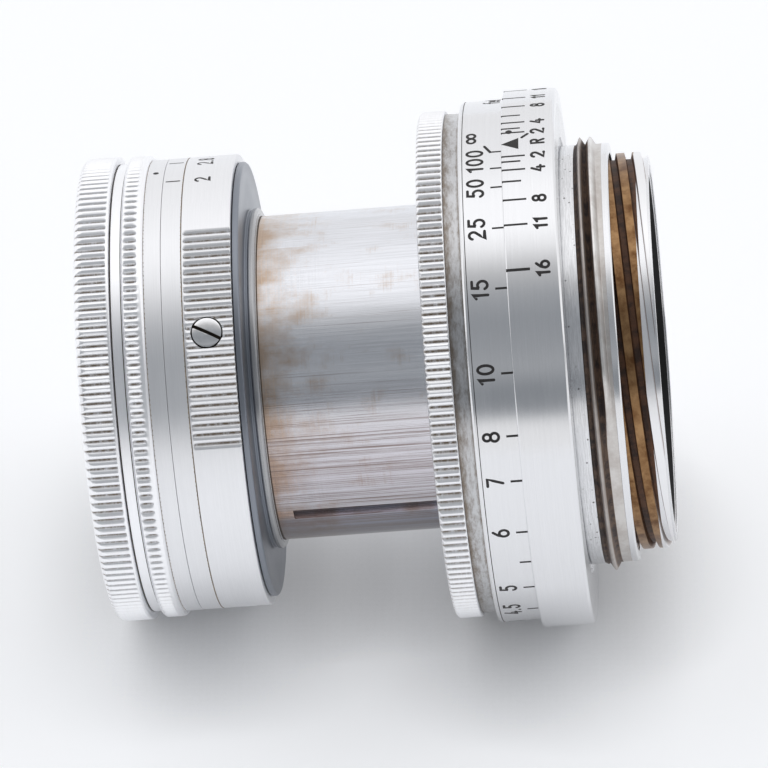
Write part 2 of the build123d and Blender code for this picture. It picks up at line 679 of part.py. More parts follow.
with BuildPart() as rear_spacer:
    with BuildSketch(Plane.XY):
        with BuildLine():
            Polyline(
                (9.4, -19.9), (L5_EDGE - 0.3, -19.9), (L5_EDGE - 0.3, -18.0), (9.4, -18.0), close=True)
        make_face()
    revolve(axis=Axis.Y)
finish(rear_spacer.part, "rear_spacer")

with BuildPart() as rear_retaining_ring:
    with BuildSketch(around(0, -10.08)):
        Circle(9.84)
        Circle(8.9, mode=Mode.SUBTRACT)
        with PolarLocations(8.9, 2):
            Rectangle(0.9, 0.8, mode=Mode.SUBTRACT)
    extrude(amount=1.08)
finish(rear_retaining_ring.part, "rear_retaining_ring")

# ---------------------------------------------------------------- iris
PLATE_FRONT = -29.4
PIN_R = 0.2
PIVOT_PIN_R = 0.25
SLOT_HALF = 0.27
RING_FRONT = -31.75
RING_REAR = -30.85
arm_start = degrees(acos((14.75 ** 2 - PIVOT_R ** 2 - ARM ** 2) / (2 * PIVOT_R * ARM)))


def pin_place(turn):
    """Drive pin's place, in the pivot's frame, when the aperture ring has turned from wide open."""
    a = radians(-arm_start + IRIS_RATIO * turn)
    return (PIVOT_R + ARM * cos(a), ARM * sin(a))


def slot_point(turn, side):
    """Point on one side of the drive slot, in the aperture ring's rest frame."""
    x, y = pin_place(turn)
    a = radians(REST_TURN - turn)
    near_x, near_y = pin_place(turn + 0.5)
    b = radians(REST_TURN - turn - 0.5)
    here = (x * cos(a) - y * sin(a), x * sin(a) + y * cos(a))
    there = (near_x * cos(b) - near_y * sin(b), near_x * sin(b) + near_y * cos(b))
    run = hypot(there[0] - here[0], there[1] - here[1])
    normal = (-(there[1] - here[1]) / run, (there[0] - here[0]) / run)
    return (here[0] + side * SLOT_HALF * normal[0], here[1] + side * SLOT_HALF * normal[1])


slot_turns = [-2.5 + (FULL_TURN + 5) * step / 16 for step in range(17)]

with BuildPart() as iris_housing:
    with BuildSketch(around(0, PLATE_FRONT)):
        Circle(HEAD_R)
        Circle(BLADE_IN_R + 0.4, mode=Mode.SUBTRACT)
        with PolarLocations(PIVOT_R, BLADES):
            Circle(PIVOT_PIN_R + 0.05, mode=Mode.SUBTRACT)
    extrude(amount=FLANGE_Y - PLATE_FRONT)
finish(iris_housing.part, "iris_housing")

with BuildPart() as iris_actuating_ring:
    with BuildSketch(around(0, RING_FRONT)):
        Circle(HEAD_IN_R - RUN)
        Circle(14.2, mode=Mode.SUBTRACT)
    extrude(amount=RING_REAR - RING_FRONT)
    for number in range(BLADES):
        with BuildSketch(around(360 / BLADES * number, RING_FRONT)):
            with BuildLine():
                Spline(*[slot_point(turn, 1) for turn in slot_turns])
                Line(slot_point(slot_turns[-1], 1), slot_point(slot_turns[-1], -1))
                Spline(*[slot_point(turn, -1) for turn in reversed(slot_turns)])
                Line(slot_point(slot_turns[0], -1), slot_point(slot_turns[0], 1))
            make_face()
        extrude(amount=RING_REAR - RING_FRONT, mode=Mode.SUBTRACT)
    for phi in SCREW_PHIS:
        with BuildSketch(outward(phi, SCREW_Y, HEAD_R)):
            Circle(0.4)
        extrude(amount=-1.62, mode=Mode.SUBTRACT)
finish(iris_actuating_ring.part, "iris_actuating_ring")

rest_blade = IRIS_RATIO * REST_TURN
pin_x, pin_y = pin_place(REST_TURN)
arc_end = radians(BLADE_ARC)
arm_x = ARM * cos(radians(-arm_start))
arm_y = ARM * sin(radians(-arm_start))

for number in range(BLADES):
    blade_y = BLADE_FRONT + BLADE_PITCH * number
    phi = 360 / BLADES * number
    with BuildPart() as iris_blade:
        with BuildSketch(around(phi, blade_y)) as blade_outline:
            with BuildLine():
                CenterArc((0, 0), BLADE_OUT_R, 0, BLADE_ARC)
                Line((BLADE_OUT_R * cos(arc_end), BLADE_OUT_R * sin(arc_end)),
                     (BLADE_IN_R * cos(arc_end), BLADE_IN_R * sin(arc_end)))
                CenterArc((0, 0), BLADE_IN_R, 0, BLADE_ARC)
                Line((BLADE_IN_R, 0), (BLADE_OUT_R, 0))
            make_face()
            with BuildLine():
                Polyline(
                    (BLADE_OUT_R - 0.6, 0), (PIVOT_R - 0.3, -0.85), (PIVOT_R + 0.4, 0.8),
                    (BLADE_OUT_R - 0.7, 2.4), close=True)
            make_face()
            with Locations((PIVOT_R, 0)):
                Circle(0.9)
            with Locations((PIVOT_R + arm_x / 2, arm_y / 2)):
                Rectangle(ARM, 0.8, rotation=-arm_start)
            with Locations((PIVOT_R + arm_x, arm_y)):
                Circle(0.4)
        extrude(amount=BLADE_THICK)
        with BuildSketch(around(phi, blade_y)):
            with Locations(pin_place(0)):
                Circle(PIN_R)
        extrude(amount=RING_FRONT + 0.15 - blade_y)
        with BuildSketch(around(phi, blade_y)):
            with Locations((PIVOT_R, 0)):
                Circle(PIVOT_PIN_R)
        extrude(amount=FLANGE_Y - 0.05 - blade_y)
    pivot = Axis((PIVOT_R * sin(radians(phi)), 0, PIVOT_R * cos(radians(phi))), (0, 1, 0))
    finish(iris_blade.part.rotate(pivot, rest_blade), "iris_blade_%02d" % (number + 1))

# ---------------------------------------------------------------- aperture ring
with BuildPart() as aperture_tick_ring:
    with BuildSketch(Plane.XY):
        with BuildLine():
            Polyline(
                (HEAD_R + RUN, TICK_FRONT), (RING_R - 0.1, TICK_FRONT), (RING_R, TICK_FRONT + 0.1),
                (RING_R, APERTURE_SEAM - 0.1), (RING_R - 0.1, APERTURE_SEAM), (HEAD_R + RUN, APERTURE_SEAM),
                close=True)
        make_face()
    revolve(axis=Axis.Y)
finish(aperture_tick_ring.part, "aperture_tick_ring")

with BuildPart() as aperture_ring:
    with BuildSketch(Plane.XY):
        with BuildLine():
            Polyline(
                (HEAD_R + RUN, APERTURE_SEAM), (RING_R - 0.1, APERTURE_SEAM), (RING_R, APERTURE_SEAM + 0.1),
                (RING_R, APERTURE_REAR - 0.12), (RING_R - 0.12, APERTURE_REAR), (HEAD_R + RUN, APERTURE_REAR),
                close=True)
        make_face()
    revolve(axis=Axis.Y)
    for phi in SCREW_PHIS:
        with BuildSketch(outward(phi, SCREW_Y, RING_R + 1)):
            Circle(1.4)
        extrude(amount=-1.6, mode=Mode.SUBTRACT)
        with BuildSketch(outward(phi, SCREW_Y, RING_R)):
            Circle(0.6)
        extrude(amount=-3, mode=Mode.SUBTRACT)
finish(aperture_ring.part, "aperture_ring")

for number in range(2):
    phi = SCREW_PHIS[number]
    with BuildPart() as aperture_tab_screw:
        with BuildSketch(outward(phi, SCREW_Y, RING_R - 0.03)):
            Circle(1.3)
        extrude(amount=-0.57)
        with BuildSketch(outward(phi, SCREW_Y, RING_R - 0.6)):
            Circle(0.58)
        extrude(amount=-1.4)
        with BuildSketch(outward(phi, SCREW_Y, RING_R - 2.0)):
            Circle(0.4)
        extrude(amount=-0.75)
        with BuildSketch(outward(phi, SCREW_Y, RING_R - 0.03)):
            Rectangle(3.0, 0.35, rotation=25 + 120 * number)
        extrude(amount=-0.3, mode=Mode.SUBTRACT)
    finish(aperture_tab_screw.part, "aperture_tab_screw_" + str(number + 1))
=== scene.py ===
import math

import bmesh
import bpy
import numpy as np
from mathutils import Matrix, Vector


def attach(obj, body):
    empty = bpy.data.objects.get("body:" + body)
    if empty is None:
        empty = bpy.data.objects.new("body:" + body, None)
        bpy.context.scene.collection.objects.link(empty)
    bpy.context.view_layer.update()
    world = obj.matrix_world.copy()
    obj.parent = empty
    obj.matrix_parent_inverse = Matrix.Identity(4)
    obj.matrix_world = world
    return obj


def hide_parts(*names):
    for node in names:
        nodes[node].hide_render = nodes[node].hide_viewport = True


# Collapsible screw-mount lens: optical axis along Y, front towards -Y, index mark towards +Z.
# Profiles are written in millimetres as (radius, y) and turned round the Y axis. Angles "phi" are
# clockwise seen from the front, measured from +Z.

MM = 0.001
TURN = 2 * math.pi

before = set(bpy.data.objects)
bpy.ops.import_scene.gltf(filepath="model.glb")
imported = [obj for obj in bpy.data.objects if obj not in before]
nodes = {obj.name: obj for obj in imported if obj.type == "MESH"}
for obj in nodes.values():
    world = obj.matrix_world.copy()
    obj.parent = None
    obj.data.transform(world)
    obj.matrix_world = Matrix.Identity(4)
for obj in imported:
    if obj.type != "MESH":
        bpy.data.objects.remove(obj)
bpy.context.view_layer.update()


# ---------------------------------------------------------------- mesh helpers
def soften(points, radius, steps=3):
    """Round every corner of an open profile, and hold the flats straight with extra rows."""
    out = [points[0]]
    for before, corner, after in zip(points, points[1:], points[2:]):
        c = np.array(corner, float)
        a = np.array(before, float) - c
        b = np.array(after, float) - c
        la, lb = np.hypot(*a), np.hypot(*b)
        reach = min(radius, 0.4 * la, 0.4 * lb)
        a, b = a / la, b / lb
        out.append(tuple(c + a * min(reach * 1.6, 0.45 * la)))
        for i in range(steps + 1):
            t = i / steps
            p = c + a * reach * (1 - t) ** 2 + b * reach * t ** 2
            out.append(tuple(p))
        out.append(tuple(c + b * min(reach * 1.6, 0.45 * lb)))
    out.append(points[-1])
    return out


def grid_object(name, points, grime=None, smooth_angle=35, phi=None):
    """Mesh from a (rows, columns, 3) array in millimetres; rows and columns both close on themselves."""
    rows, cols, _ = points.shape
    phi = np.arange(cols) * TURN / cols if phi is None else phi
    turn = np.append(phi, phi[0] + TURN)
    verts = points.reshape(-1, 3) * MM
    r0, c0 = np.meshgrid(np.arange(rows), np.arange(cols), indexing="ij")
    r1 = (r0 + 1) % rows
    c1 = (c0 + 1) % cols
    quads = np.stack([r0 * cols + c0, r0 * cols + c1, r1 * cols + c1, r1 * cols + c0], -1).reshape(-1, 4)
    mesh = bpy.data.meshes.new(name)
    mesh.from_pydata(verts.tolist(), [], quads.tolist())
    along = np.concatenate([[0], np.cumsum(np.linalg.norm(np.diff(points[:, 0], axis=0), axis=1))])
    closing = along[-1] + np.linalg.norm(points[0, 0] - points[-1, 0])
    radius = float(np.median(np.hypot(points[:, 0, 0], points[:, 0, 2])))
    u = radius * np.stack([turn[c0], turn[c0 + 1], turn[c0 + 1], turn[c0]], -1)
    low = along[r0]
    high = np.where(r0 + 1 < rows, along[np.minimum(r0 + 1, rows - 1)], closing)
    v = np.stack([low, low, high, high], -1)
    uv = mesh.uv_layers.new(name="turned")
    uv.data.foreach_set("uv", np.stack([u, v], -1).reshape(-1))
    if grime is not None:
        layer = mesh.attributes.new("grime", "FLOAT", "POINT")
        layer.data.foreach_set("value", grime.reshape(-1).astype(float))
    mesh.shade_smooth()
    mesh.set_sharp_from_angle(angle=math.radians(smooth_angle))
    obj = bpy.data.objects.new(name, mesh)
    bpy.context.scene.collection.objects.link(obj)
    bpy.context.view_layer.update()
    return obj


def make_normals_face_out(obj):
    """Flip the faces if the closed mesh is inside out."""
    bm = bmesh.new()
    bm.from_mesh(obj.data)
    bmesh.ops.remove_doubles(bm, verts=bm.verts, dist=1e-7)
    bmesh.ops.dissolve_degenerate(bm, edges=bm.edges, dist=1e-7)
    if bm.calc_volume(signed=True) < 0:
        bmesh.ops.reverse_faces(bm, faces=bm.faces)
    bm.to_mesh(obj.data)
    bm.free()


def revolve(name, profile, columns=384, radius=0.06, steps=3, carve=None, extra=()):
    """Closed turned ring. The profile goes once round the ring's section.

    carve(phi, y, r) gives the depth taken off at each point, and extra lists more column angles.
    """
    ring = [profile[-1]] + profile + [profile[0]]
    rounded = soften(ring, radius, steps)[1:-1]
    r = np.array([p[0] for p in rounded])[:, None]
    y = np.array([p[1] for p in rounded])[:, None]
    phi = np.unique(np.concatenate([np.arange(columns) * TURN / columns, np.radians(extra)]))[None, :]
    radial = r - carve(phi, y, r) if carve else r * np.ones_like(phi)
    points = np.stack([radial * np.sin(phi), y * np.ones_like(phi), radial * np.cos(phi)], -1)
    obj = grid_object(name, points, phi=phi[0])
    make_normals_face_out(obj)
    return obj


# one tooth: (share of the pitch, share of the depth), with a rounded crest and a round-bottomed valley
TOOTH = ((0.0, 0.0), (0.06, 0.04), (0.14, 0.14), (0.24, 0.28), (0.33, 0.42), (0.39, 0.70), (0.44, 0.92),
         (0.5, 1.0), (0.56, 0.92), (0.61, 0.70), (0.67, 0.42), (0.76, 0.28), (0.86, 0.14), (0.94, 0.04))


def knurled(name, profile, teeth, depth, window, runout, radius=0.06, arcs=None, rows=10, first=0.0):
    """Turned ring whose outer face has straight teeth.

    window is the (start, end) of the valleys in y, runout is how far each end takes to come up,
    and arcs limits the teeth to some (start, end) angles in degrees.
    """
    closed = profile + [profile[0]]
    rounded = soften([profile[-1]] + closed, radius)[1:-1]
    outer = max(p[0] for p in profile)
    dense = []
    for a, b in zip(rounded, rounded[1:] + rounded[:1]):
        dense.append(a)
        if min(a[0], b[0]) > outer - 0.02 and abs(b[1] - a[1]) > 0.3:
            for edge in sorted((window[0], window[0] + runout[0] * 0.35, window[0] + runout[0],
                                *np.linspace(window[0] + runout[0], window[1] - runout[1], rows)[1:-1],
                                window[1] - runout[1], window[1] - runout[1] * 0.35, window[1]),
                               reverse=b[1] < a[1]):
                if min(a[1], b[1]) + 0.01 < edge < max(a[1], b[1]) - 0.01:
                    dense.append((a[0], edge))
    r = np.array([p[0] for p in dense])
    y = np.array([p[1] for p in dense])
    phase = np.array([t[0] for t in TOOTH])
    cut = np.array([t[1] for t in TOOTH])
    phi = (np.arange(teeth)[:, None] + phase[None, :]).reshape(-1) * TURN / teeth + math.radians(first)
    tooth = np.tile(cut, teeth)
    if arcs:
        middle = (np.degrees(np.repeat((np.arange(teeth) + 0.5) * TURN / teeth, len(TOOTH))) + first) % 360
        keep = np.zeros(len(tooth), bool)
        for start, end in arcs:
            keep |= ((middle - start) % 360) < ((end - start) % 360)
        tooth = tooth * keep
    def ramp(distance, length):
        if length <= 0:
            return (distance >= 0).astype(float)
        t = np.clip(distance / length, 0, 1)
        return np.sqrt(1 - (1 - t) ** 2)
    along = ramp(y - window[0], runout[0]) * ramp(window[1] - y, runout[1])
    near = np.clip((r - (outer - 1.0)) / 0.2, 0, 1)
    fall = np.outer(along * near * depth, tooth)
    target = outer - fall
    radial = np.where(fall > 0, np.minimum(r[:, None], target), r[:, None])
    points = np.stack([radial * np.sin(phi), y[:, None] * np.ones_like(phi), radial * np.cos(phi)], -1)
    obj = grid_object(name, points, grime=fall / depth, smooth_angle=40, phi=phi)
    make_normals_face_out(obj)
    return obj


def drill(obj, phi, y, r, radius, depth, material):
    """Cut a round recess into a turned ring, square to its surface, and line it with material."""
    bm = bmesh.new()
    bmesh.ops.create_cone(
        bm, cap_ends=True, segments=64, radius1=radius * MM, radius2=radius * MM, depth=2 * depth * MM)
    mesh = bpy.data.meshes.new("drill")
    bm.to_mesh(mesh)
    bm.free()
    mesh.materials.append(material)
    tool = bpy.data.objects.new("drill", mesh)
    bpy.context.scene.collection.objects.link(tool)
    tool.matrix_world = stand(phi, y, r)
    cut = obj.modifiers.new("recess", "BOOLEAN")
    cut.object = tool
    cut.operation = "DIFFERENCE"
    cut.solver = "EXACT"
    cut.material_mode = "TRANSFER"
    bpy.context.view_layer.update()
    carved = bpy.data.meshes.new_from_object(obj.evaluated_get(bpy.context.evaluated_depsgraph_get()))
    obj.modifiers.clear()
    obj.data = carved
    bpy.data.objects.remove(tool)


def stand(phi, y, r, turn=0.0):
    """Placing matrix at radius r: local Z points outward along phi, local X towards larger phi."""
    a = math.radians(phi)
    out = Vector((math.sin(a), 0, math.cos(a)))
    along = Vector((math.cos(a), 0, -math.sin(a)))
    axes = Matrix((along, out.cross(along), out)).transposed().to_4x4()
    place = Matrix.Translation(Vector((out.x * r, y, out.z * r)) * MM)
    return place @ axes @ Matrix.Rotation(math.radians(turn), 4, "Z")


def slotted_screw(name, phi, y, r, radius, slot, turn, lining, dome=0.12, depth=0.35):
    """Cheese-head screw with a domed, bevelled head and a slot across it, lined with a near-black material
    that is partly dirt and partly painted shade in the slot.
    """
    rings = 14
    columns = 96
    verts = []
    faces = []
    top = [(radius * math.sin(math.radians(90 * i / rings)), 0) for i in range(1, rings + 1)]
    angle = np.arange(columns) * TURN / columns
    rows = []
    for t in top:
        crown = math.sqrt(max(0.0, 1 - (t[0] / radius) ** 2 * 0.75)) - 0.5
        rows.append((t[0], dome * crown * 2 - 0.02))
    rows += [(radius, -0.16), (radius, -1.1)]
    verts.append((0, 0, rows[0][1]))
    for rr, z in rows:
        for a in angle:
            verts.append((rr * math.cos(a), rr * math.sin(a), z))
    for c in range(columns):
        faces.append((0, 1 + c, 1 + (c + 1) % columns))
    for k in range(len(rows) - 1):
        base = 1 + k * columns
        for c in range(columns):
            n = (c + 1) % columns
            faces.append((base + c, base + columns + c, base + columns + n, base + n))
    faces.append([1 + (len(rows) - 1) * columns + c for c in reversed(range(columns))])
    mesh = bpy.data.meshes.new(name)
    mesh.from_pydata([tuple(c * MM for c in v) for v in verts], [], faces)
    mesh.materials.append(SCREW)
    obj = bpy.data.objects.new(name, mesh)
    bpy.context.scene.collection.objects.link(obj)
    half = slot / 2
    box = bpy.data.meshes.new("slot")
    corners = [(x, w, z) for x in (-2 * radius, 2 * radius) for w in (-half, half) for z in (-depth, 1.0)]
    box.from_pydata([tuple(c * MM for c in v) for v in corners], [],
                    [(0, 1, 3, 2), (4, 6, 7, 5), (0, 4, 5, 1), (2, 3, 7, 6), (0, 2, 6, 4), (1, 5, 7, 3)])
    box.materials.append(lining)
    tool = bpy.data.objects.new("slot", box)
    bpy.context.scene.collection.objects.link(tool)
    cut = obj.modifiers.new("slot", "BOOLEAN")
    cut.object = tool
    cut.operation = "DIFFERENCE"
    cut.solver = "EXACT"
    cut.material_mode = "TRANSFER"
    bevel = obj.modifiers.new("edges", "BEVEL")
    bevel.width = 0.02 * MM
    bevel.segments = 2
    bevel.limit_method = "ANGLE"
    bevel.angle_limit = math.radians(40)
    bpy.context.view_layer.update()
    obj.data = bpy.data.meshes.new_from_object(obj.evaluated_get(bpy.context.evaluated_depsgraph_get()))
    obj.modifiers.clear()
    bpy.data.objects.remove(tool)
    obj.data.shade_smooth()
    obj.data.set_sharp_from_angle(angle=math.radians(35))
    obj.data.transform(stand(phi, y, r, turn))
    return obj


def threaded(name, y0, y1, inner, lead, starts, section, columns=480, rows_per_pitch=24, grime_of=None):
    """Closed sleeve with a right-handed thread. section(phase, y) gives the radius."""
    pitch = lead / starts
    dy = pitch / rows_per_pitch
    first = int(math.floor((y0 - lead) / dy)) - 1
    last = int(math.ceil((y1 + lead) / dy)) + 1
    index = np.arange(first, last + 1)
    phi = np.arange(columns) * TURN / columns
    y = index[:, None] * dy + lead * (phi / TURN)[None, :]
    y = np.clip(y, y0, y1)
    phase = (y / pitch - starts * (phi / TURN)[None, :]) % 1.0
    r = section(phase, y, phi[None, :])
    points = np.stack([r * np.sin(phi), y, r * np.cos(phi)], -1)
    # the seam joins row i of the last column to row i + shift of the first
    shift = starts * rows_per_pitch
    rows = len(index)
    verts = points.reshape(-1, 3) * MM
    faces = []
    r0, c0 = np.meshgrid(np.arange(rows - 1), np.arange(columns - 1), indexing="ij")
    faces.append(np.stack([r0 * columns + c0, r0 * columns + c0 + 1,
                           (r0 + 1) * columns + c0 + 1, (r0 + 1) * columns + c0], -1).reshape(-1, 4))
    i = np.arange(rows - 1 - shift)
    last_col = columns - 1
    faces.append(np.stack([i * columns + last_col, (i + shift) * columns,
                           (i + shift + 1) * columns, (i + 1) * columns + last_col], -1))
    low = len(verts)
    for end in (y0, y1):
        ring = np.stack([inner * np.sin(phi), np.full(columns, end), inner * np.cos(phi)], -1) * MM
        verts = np.concatenate([verts, ring])
    c = np.arange(columns)
    n = (c + 1) % columns
    bottom = np.where(c == last_col, shift * columns, n)
    top_row = (rows - 1) * columns
    faces.append(np.stack([c, low + c, low + n, np.where(c == last_col, 0, n)], -1))
    faces.append(np.stack([top_row + c, np.where(c == last_col, top_row, top_row + n),
                           low + columns + n, low + columns + c], -1))
    faces.append(np.stack([low + c, low + columns + c, low + columns + n, low + n], -1))
    mesh = bpy.data.meshes.new(name)
    mesh.from_pydata(verts.tolist(), [], np.concatenate(faces).tolist())
    if grime_of is not None:
        values = np.zeros(len(verts))
        values[:low] = grime_of(phase, y, r).reshape(-1)
        layer = mesh.attributes.new("grime", "FLOAT", "POINT")
        layer.data.foreach_set("value", values)
    obj = bpy.data.objects.new(name, mesh)
    bpy.context.scene.collection.objects.link(obj)
    bm = bmesh.new()
    bm.from_mesh(mesh)
    bmesh.ops.remove_doubles(bm, verts=bm.verts, dist=1e-7)
    bmesh.ops.dissolve_degenerate(bm, edges=bm.edges, dist=1e-7)
    bmesh.ops.recalc_face_normals(bm, faces=bm.faces)
    if bm.calc_volume(signed=True) < 0:
        bmesh.ops.reverse_faces(bm, faces=bm.faces)
    bm.to_mesh(mesh)
    bm.free()
    mesh.shade_smooth()
    mesh.set_sharp_from_angle(angle=math.radians(32))
    return obj


# ---------------------------------------------------------------- engraved marks
def arc(cx, cy, rx, ry, start, end, steps=12):
    """Points on an ellipse, angles in degrees."""
    angles = np.radians(np.linspace(start, end, steps + 1))
    return [(cx + rx * math.cos(a), cy + ry * math.sin(a)) for a in angles]


DIGITS = {
    "0": (0.62, [arc(0.31, 0.5, 0.27, 0.5, 90, 450, 24)]),
    "1": (0.34, [[(0.02, 0.76), (0.24, 1.0), (0.24, 0.0)]]),
    "2": (0.62, [arc(0.3, 0.73, 0.26, 0.27, 165, -38, 12) + [(0.04, 0.0), (0.6, 0.0)]]),
    "3": (0.60, [arc(0.28, 0.75, 0.24, 0.25, 160, -70, 10) + [(0.3, 0.52)],
                 [(0.3, 0.52)] + arc(0.28, 0.27, 0.28, 0.27, 75, -160, 12)]),
    "4": (0.66, [[(0.34, 1.0), (0.03, 0.3), (0.62, 0.3)], [(0.44, 0.55), (0.44, 0.0)]]),
    "5": (0.62, [[(0.56, 1.0), (0.14, 1.0), (0.09, 0.55)] + arc(0.3, 0.32, 0.28, 0.32, 125, -155, 12)]),
    "6": (0.62, [arc(0.31, 0.3, 0.27, 0.3, 90, 450, 20),
                 [(0.05, 0.36), (0.14, 0.66), (0.42, 1.0)]]),
    "7": (0.60, [[(0.04, 1.0), (0.56, 1.0), (0.22, 0.0)]]),
    "8": (0.62, [arc(0.31, 0.76, 0.23, 0.24, -90, 270, 18), arc(0.31, 0.27, 0.28, 0.27, 90, 450, 20)]),
    ".": (0.2, [[(0.08, 0.0), (0.08, 0.02)]]),
    "R": (0.62, [[(0.08, 0.0), (0.08, 1.0), (0.34, 1.0)] + arc(0.34, 0.76, 0.2, 0.24, 80, -90, 8)
                 + [(0.08, 0.52)], [(0.32, 0.52), (0.56, 0.0)]]),
    "f": (0.40, [arc(0.34, 0.82, 0.16, 0.18, 60, 180, 6) + [(0.18, 0.0)], [(0.04, 0.6), (0.36, 0.6)]]),
    "e": (0.52, [[(0.06, 0.34), (0.48, 0.34)] + arc(0.27, 0.32, 0.21, 0.32, 5, 310, 14)]),
    "t": (0.36, [[(0.16, 0.95), (0.16, 0.1)] + arc(0.24, 0.1, 0.08, 0.1, 180, 290, 4),
                 [(0.02, 0.64), (0.34, 0.64)]]),
    "infinity": (1.1, [arc(0.27, 0.5, 0.25, 0.24, 0, 360, 20), arc(0.83, 0.5, 0.25, 0.24, 0, 360, 20)]),
}


class Marks:
    """Paint-filled engraving on a cylinder: closed strips that stand a hair proud of the surface."""

    def __init__(self, name, radius):
        self.name = name
        self.radius = radius
        self.verts = []
        self.faces = []

    def place(self, s, y, lift):
        """Point at arc distance s (mm, towards larger phi) and axial place y."""
        phi = s / self.radius
        r = self.radius + lift
        return (r * math.sin(phi) * MM, y * MM, r * math.cos(phi) * MM)

    def fill(self, outline, rows=8):
        """Filled shape from an outline that is symmetrical in s, laid down in strips."""
        apex, corner, other = outline
        for i in range(rows):
            a, b = i / rows, (i + 1) / rows
            for j in range(8):
                c, d = j / 8, (j + 1) / 8
                def at(along, across):
                    left = [apex[k] + (corner[k] - apex[k]) * along for k in (0, 1)]
                    right = [apex[k] + (other[k] - apex[k]) * along for k in (0, 1)]
                    return tuple(left[k] + (right[k] - left[k]) * across for k in (0, 1))
                self.slab([at(a + 0.001, c), at(b, c), at(b, d), at(a + 0.001, d)])

    def dot(self, phi, y, radius):
        s = math.radians(phi) * self.radius
        for i in range(12):
            a, b = math.radians(30 * i), math.radians(30 * i + 30)
            self.slab([(s, y), (s + radius * math.cos(a), y + radius * math.sin(a)),
                       (s + radius * math.cos(b), y + radius * math.sin(b))])

    def slab(self, outline):
        """Closed slab from an outline in (s, y), top above the surface and bottom below it."""
        base = len(self.verts)
        n = len(outline)
        for lift in (0.01, -0.05):
            for s, y in outline:
                self.verts.append(self.place(s, y, lift))
        self.faces.append(list(range(base, base + n)))
        self.faces.append(list(range(base + 2 * n - 1, base + n - 1, -1)))
        for i in range(n):
            j = (i + 1) % n
            self.faces.append([base + j, base + i, base + n + i, base + n + j])

    def stroke(self, points, width, square=False):
        """Line of even width along points in (s, y), one short slab for each segment."""
        fine = [points[0]]
        for a, b in zip(points, points[1:]):
            count = max(1, int(math.hypot(b[0] - a[0], b[1] - a[1]) / 0.45))
            for i in range(1, count + 1):
                t = i / count
                fine.append((a[0] + (b[0] - a[0]) * t, a[1] + (b[1] - a[1]) * t))
        half = width / 2
        left, right = [], []
        for i, p in enumerate(fine):
            before = fine[max(i - 1, 0)]
            after = fine[min(i + 1, len(fine) - 1)]
            dx, dy = after[0] - before[0], after[1] - before[1]
            size = math.hypot(dx, dy) or 1.0
            nx, ny = -dy / size * half, dx / size * half
            stretch = 1.0
            if 0 < i < len(fine) - 1:
                ax, ay = p[0] - before[0], p[1] - before[1]
                la = math.hypot(ax, ay) or 1.0
                cosine = abs(-ay / la * nx + ax / la * ny) / half
                stretch = min(1.0 / max(cosine, 0.55), 1.8)
            left.append((p[0] + nx * stretch, p[1] + ny * stretch))
            right.append((p[0] - nx * stretch, p[1] - ny * stretch))
        for i in range(len(fine) - 1):
            self.slab([left[i], left[i + 1], right[i + 1], right[i]])
        if not square:
            for end, nearby in ((fine[0], fine[1]), (fine[-1], fine[-2])):
                angle = math.atan2(end[1] - nearby[1], end[0] - nearby[0])
                cap = [angle + math.radians(a) for a in (-90, -60, -30, 0, 30, 60, 90)]
                self.slab([(end[0] + half * math.cos(a), end[1] + half * math.sin(a)) for a in cap])

    def text(self, text, phi, y_base, height, width, spacing=0.27, glyphs=None):
        """Digits with their tops towards the front, read towards smaller phi, centred on phi."""
        glyphs = glyphs or list(text)
        total = sum(DIGITS[g][0] for g in glyphs) + spacing * (len(glyphs) - 1)
        x = -total / 2
        middle = math.radians(phi) * self.radius
        for g in glyphs:
            advance, strokes = DIGITS[g]
            for line in strokes:
                self.stroke([(middle - (x + px) * height, y_base - py * height) for px, py in line], width)
            x += advance + spacing

    def tick(self, phi, y_start, y_end, width):
        s = math.radians(phi) * self.radius
        self.stroke([(s, y_start), (s, y_end)], width, square=True)

    def build(self):
        mesh = bpy.data.meshes.new(self.name)
        mesh.from_pydata(self.verts, [], self.faces)
        obj = bpy.data.objects.new(self.name, mesh)
        bpy.context.scene.collection.objects.link(obj)
        bm = bmesh.new()
        bm.from_mesh(mesh)
        bmesh.ops.recalc_face_normals(bm, faces=bm.faces)
        bm.to_mesh(mesh)
        bm.free()
        return obj


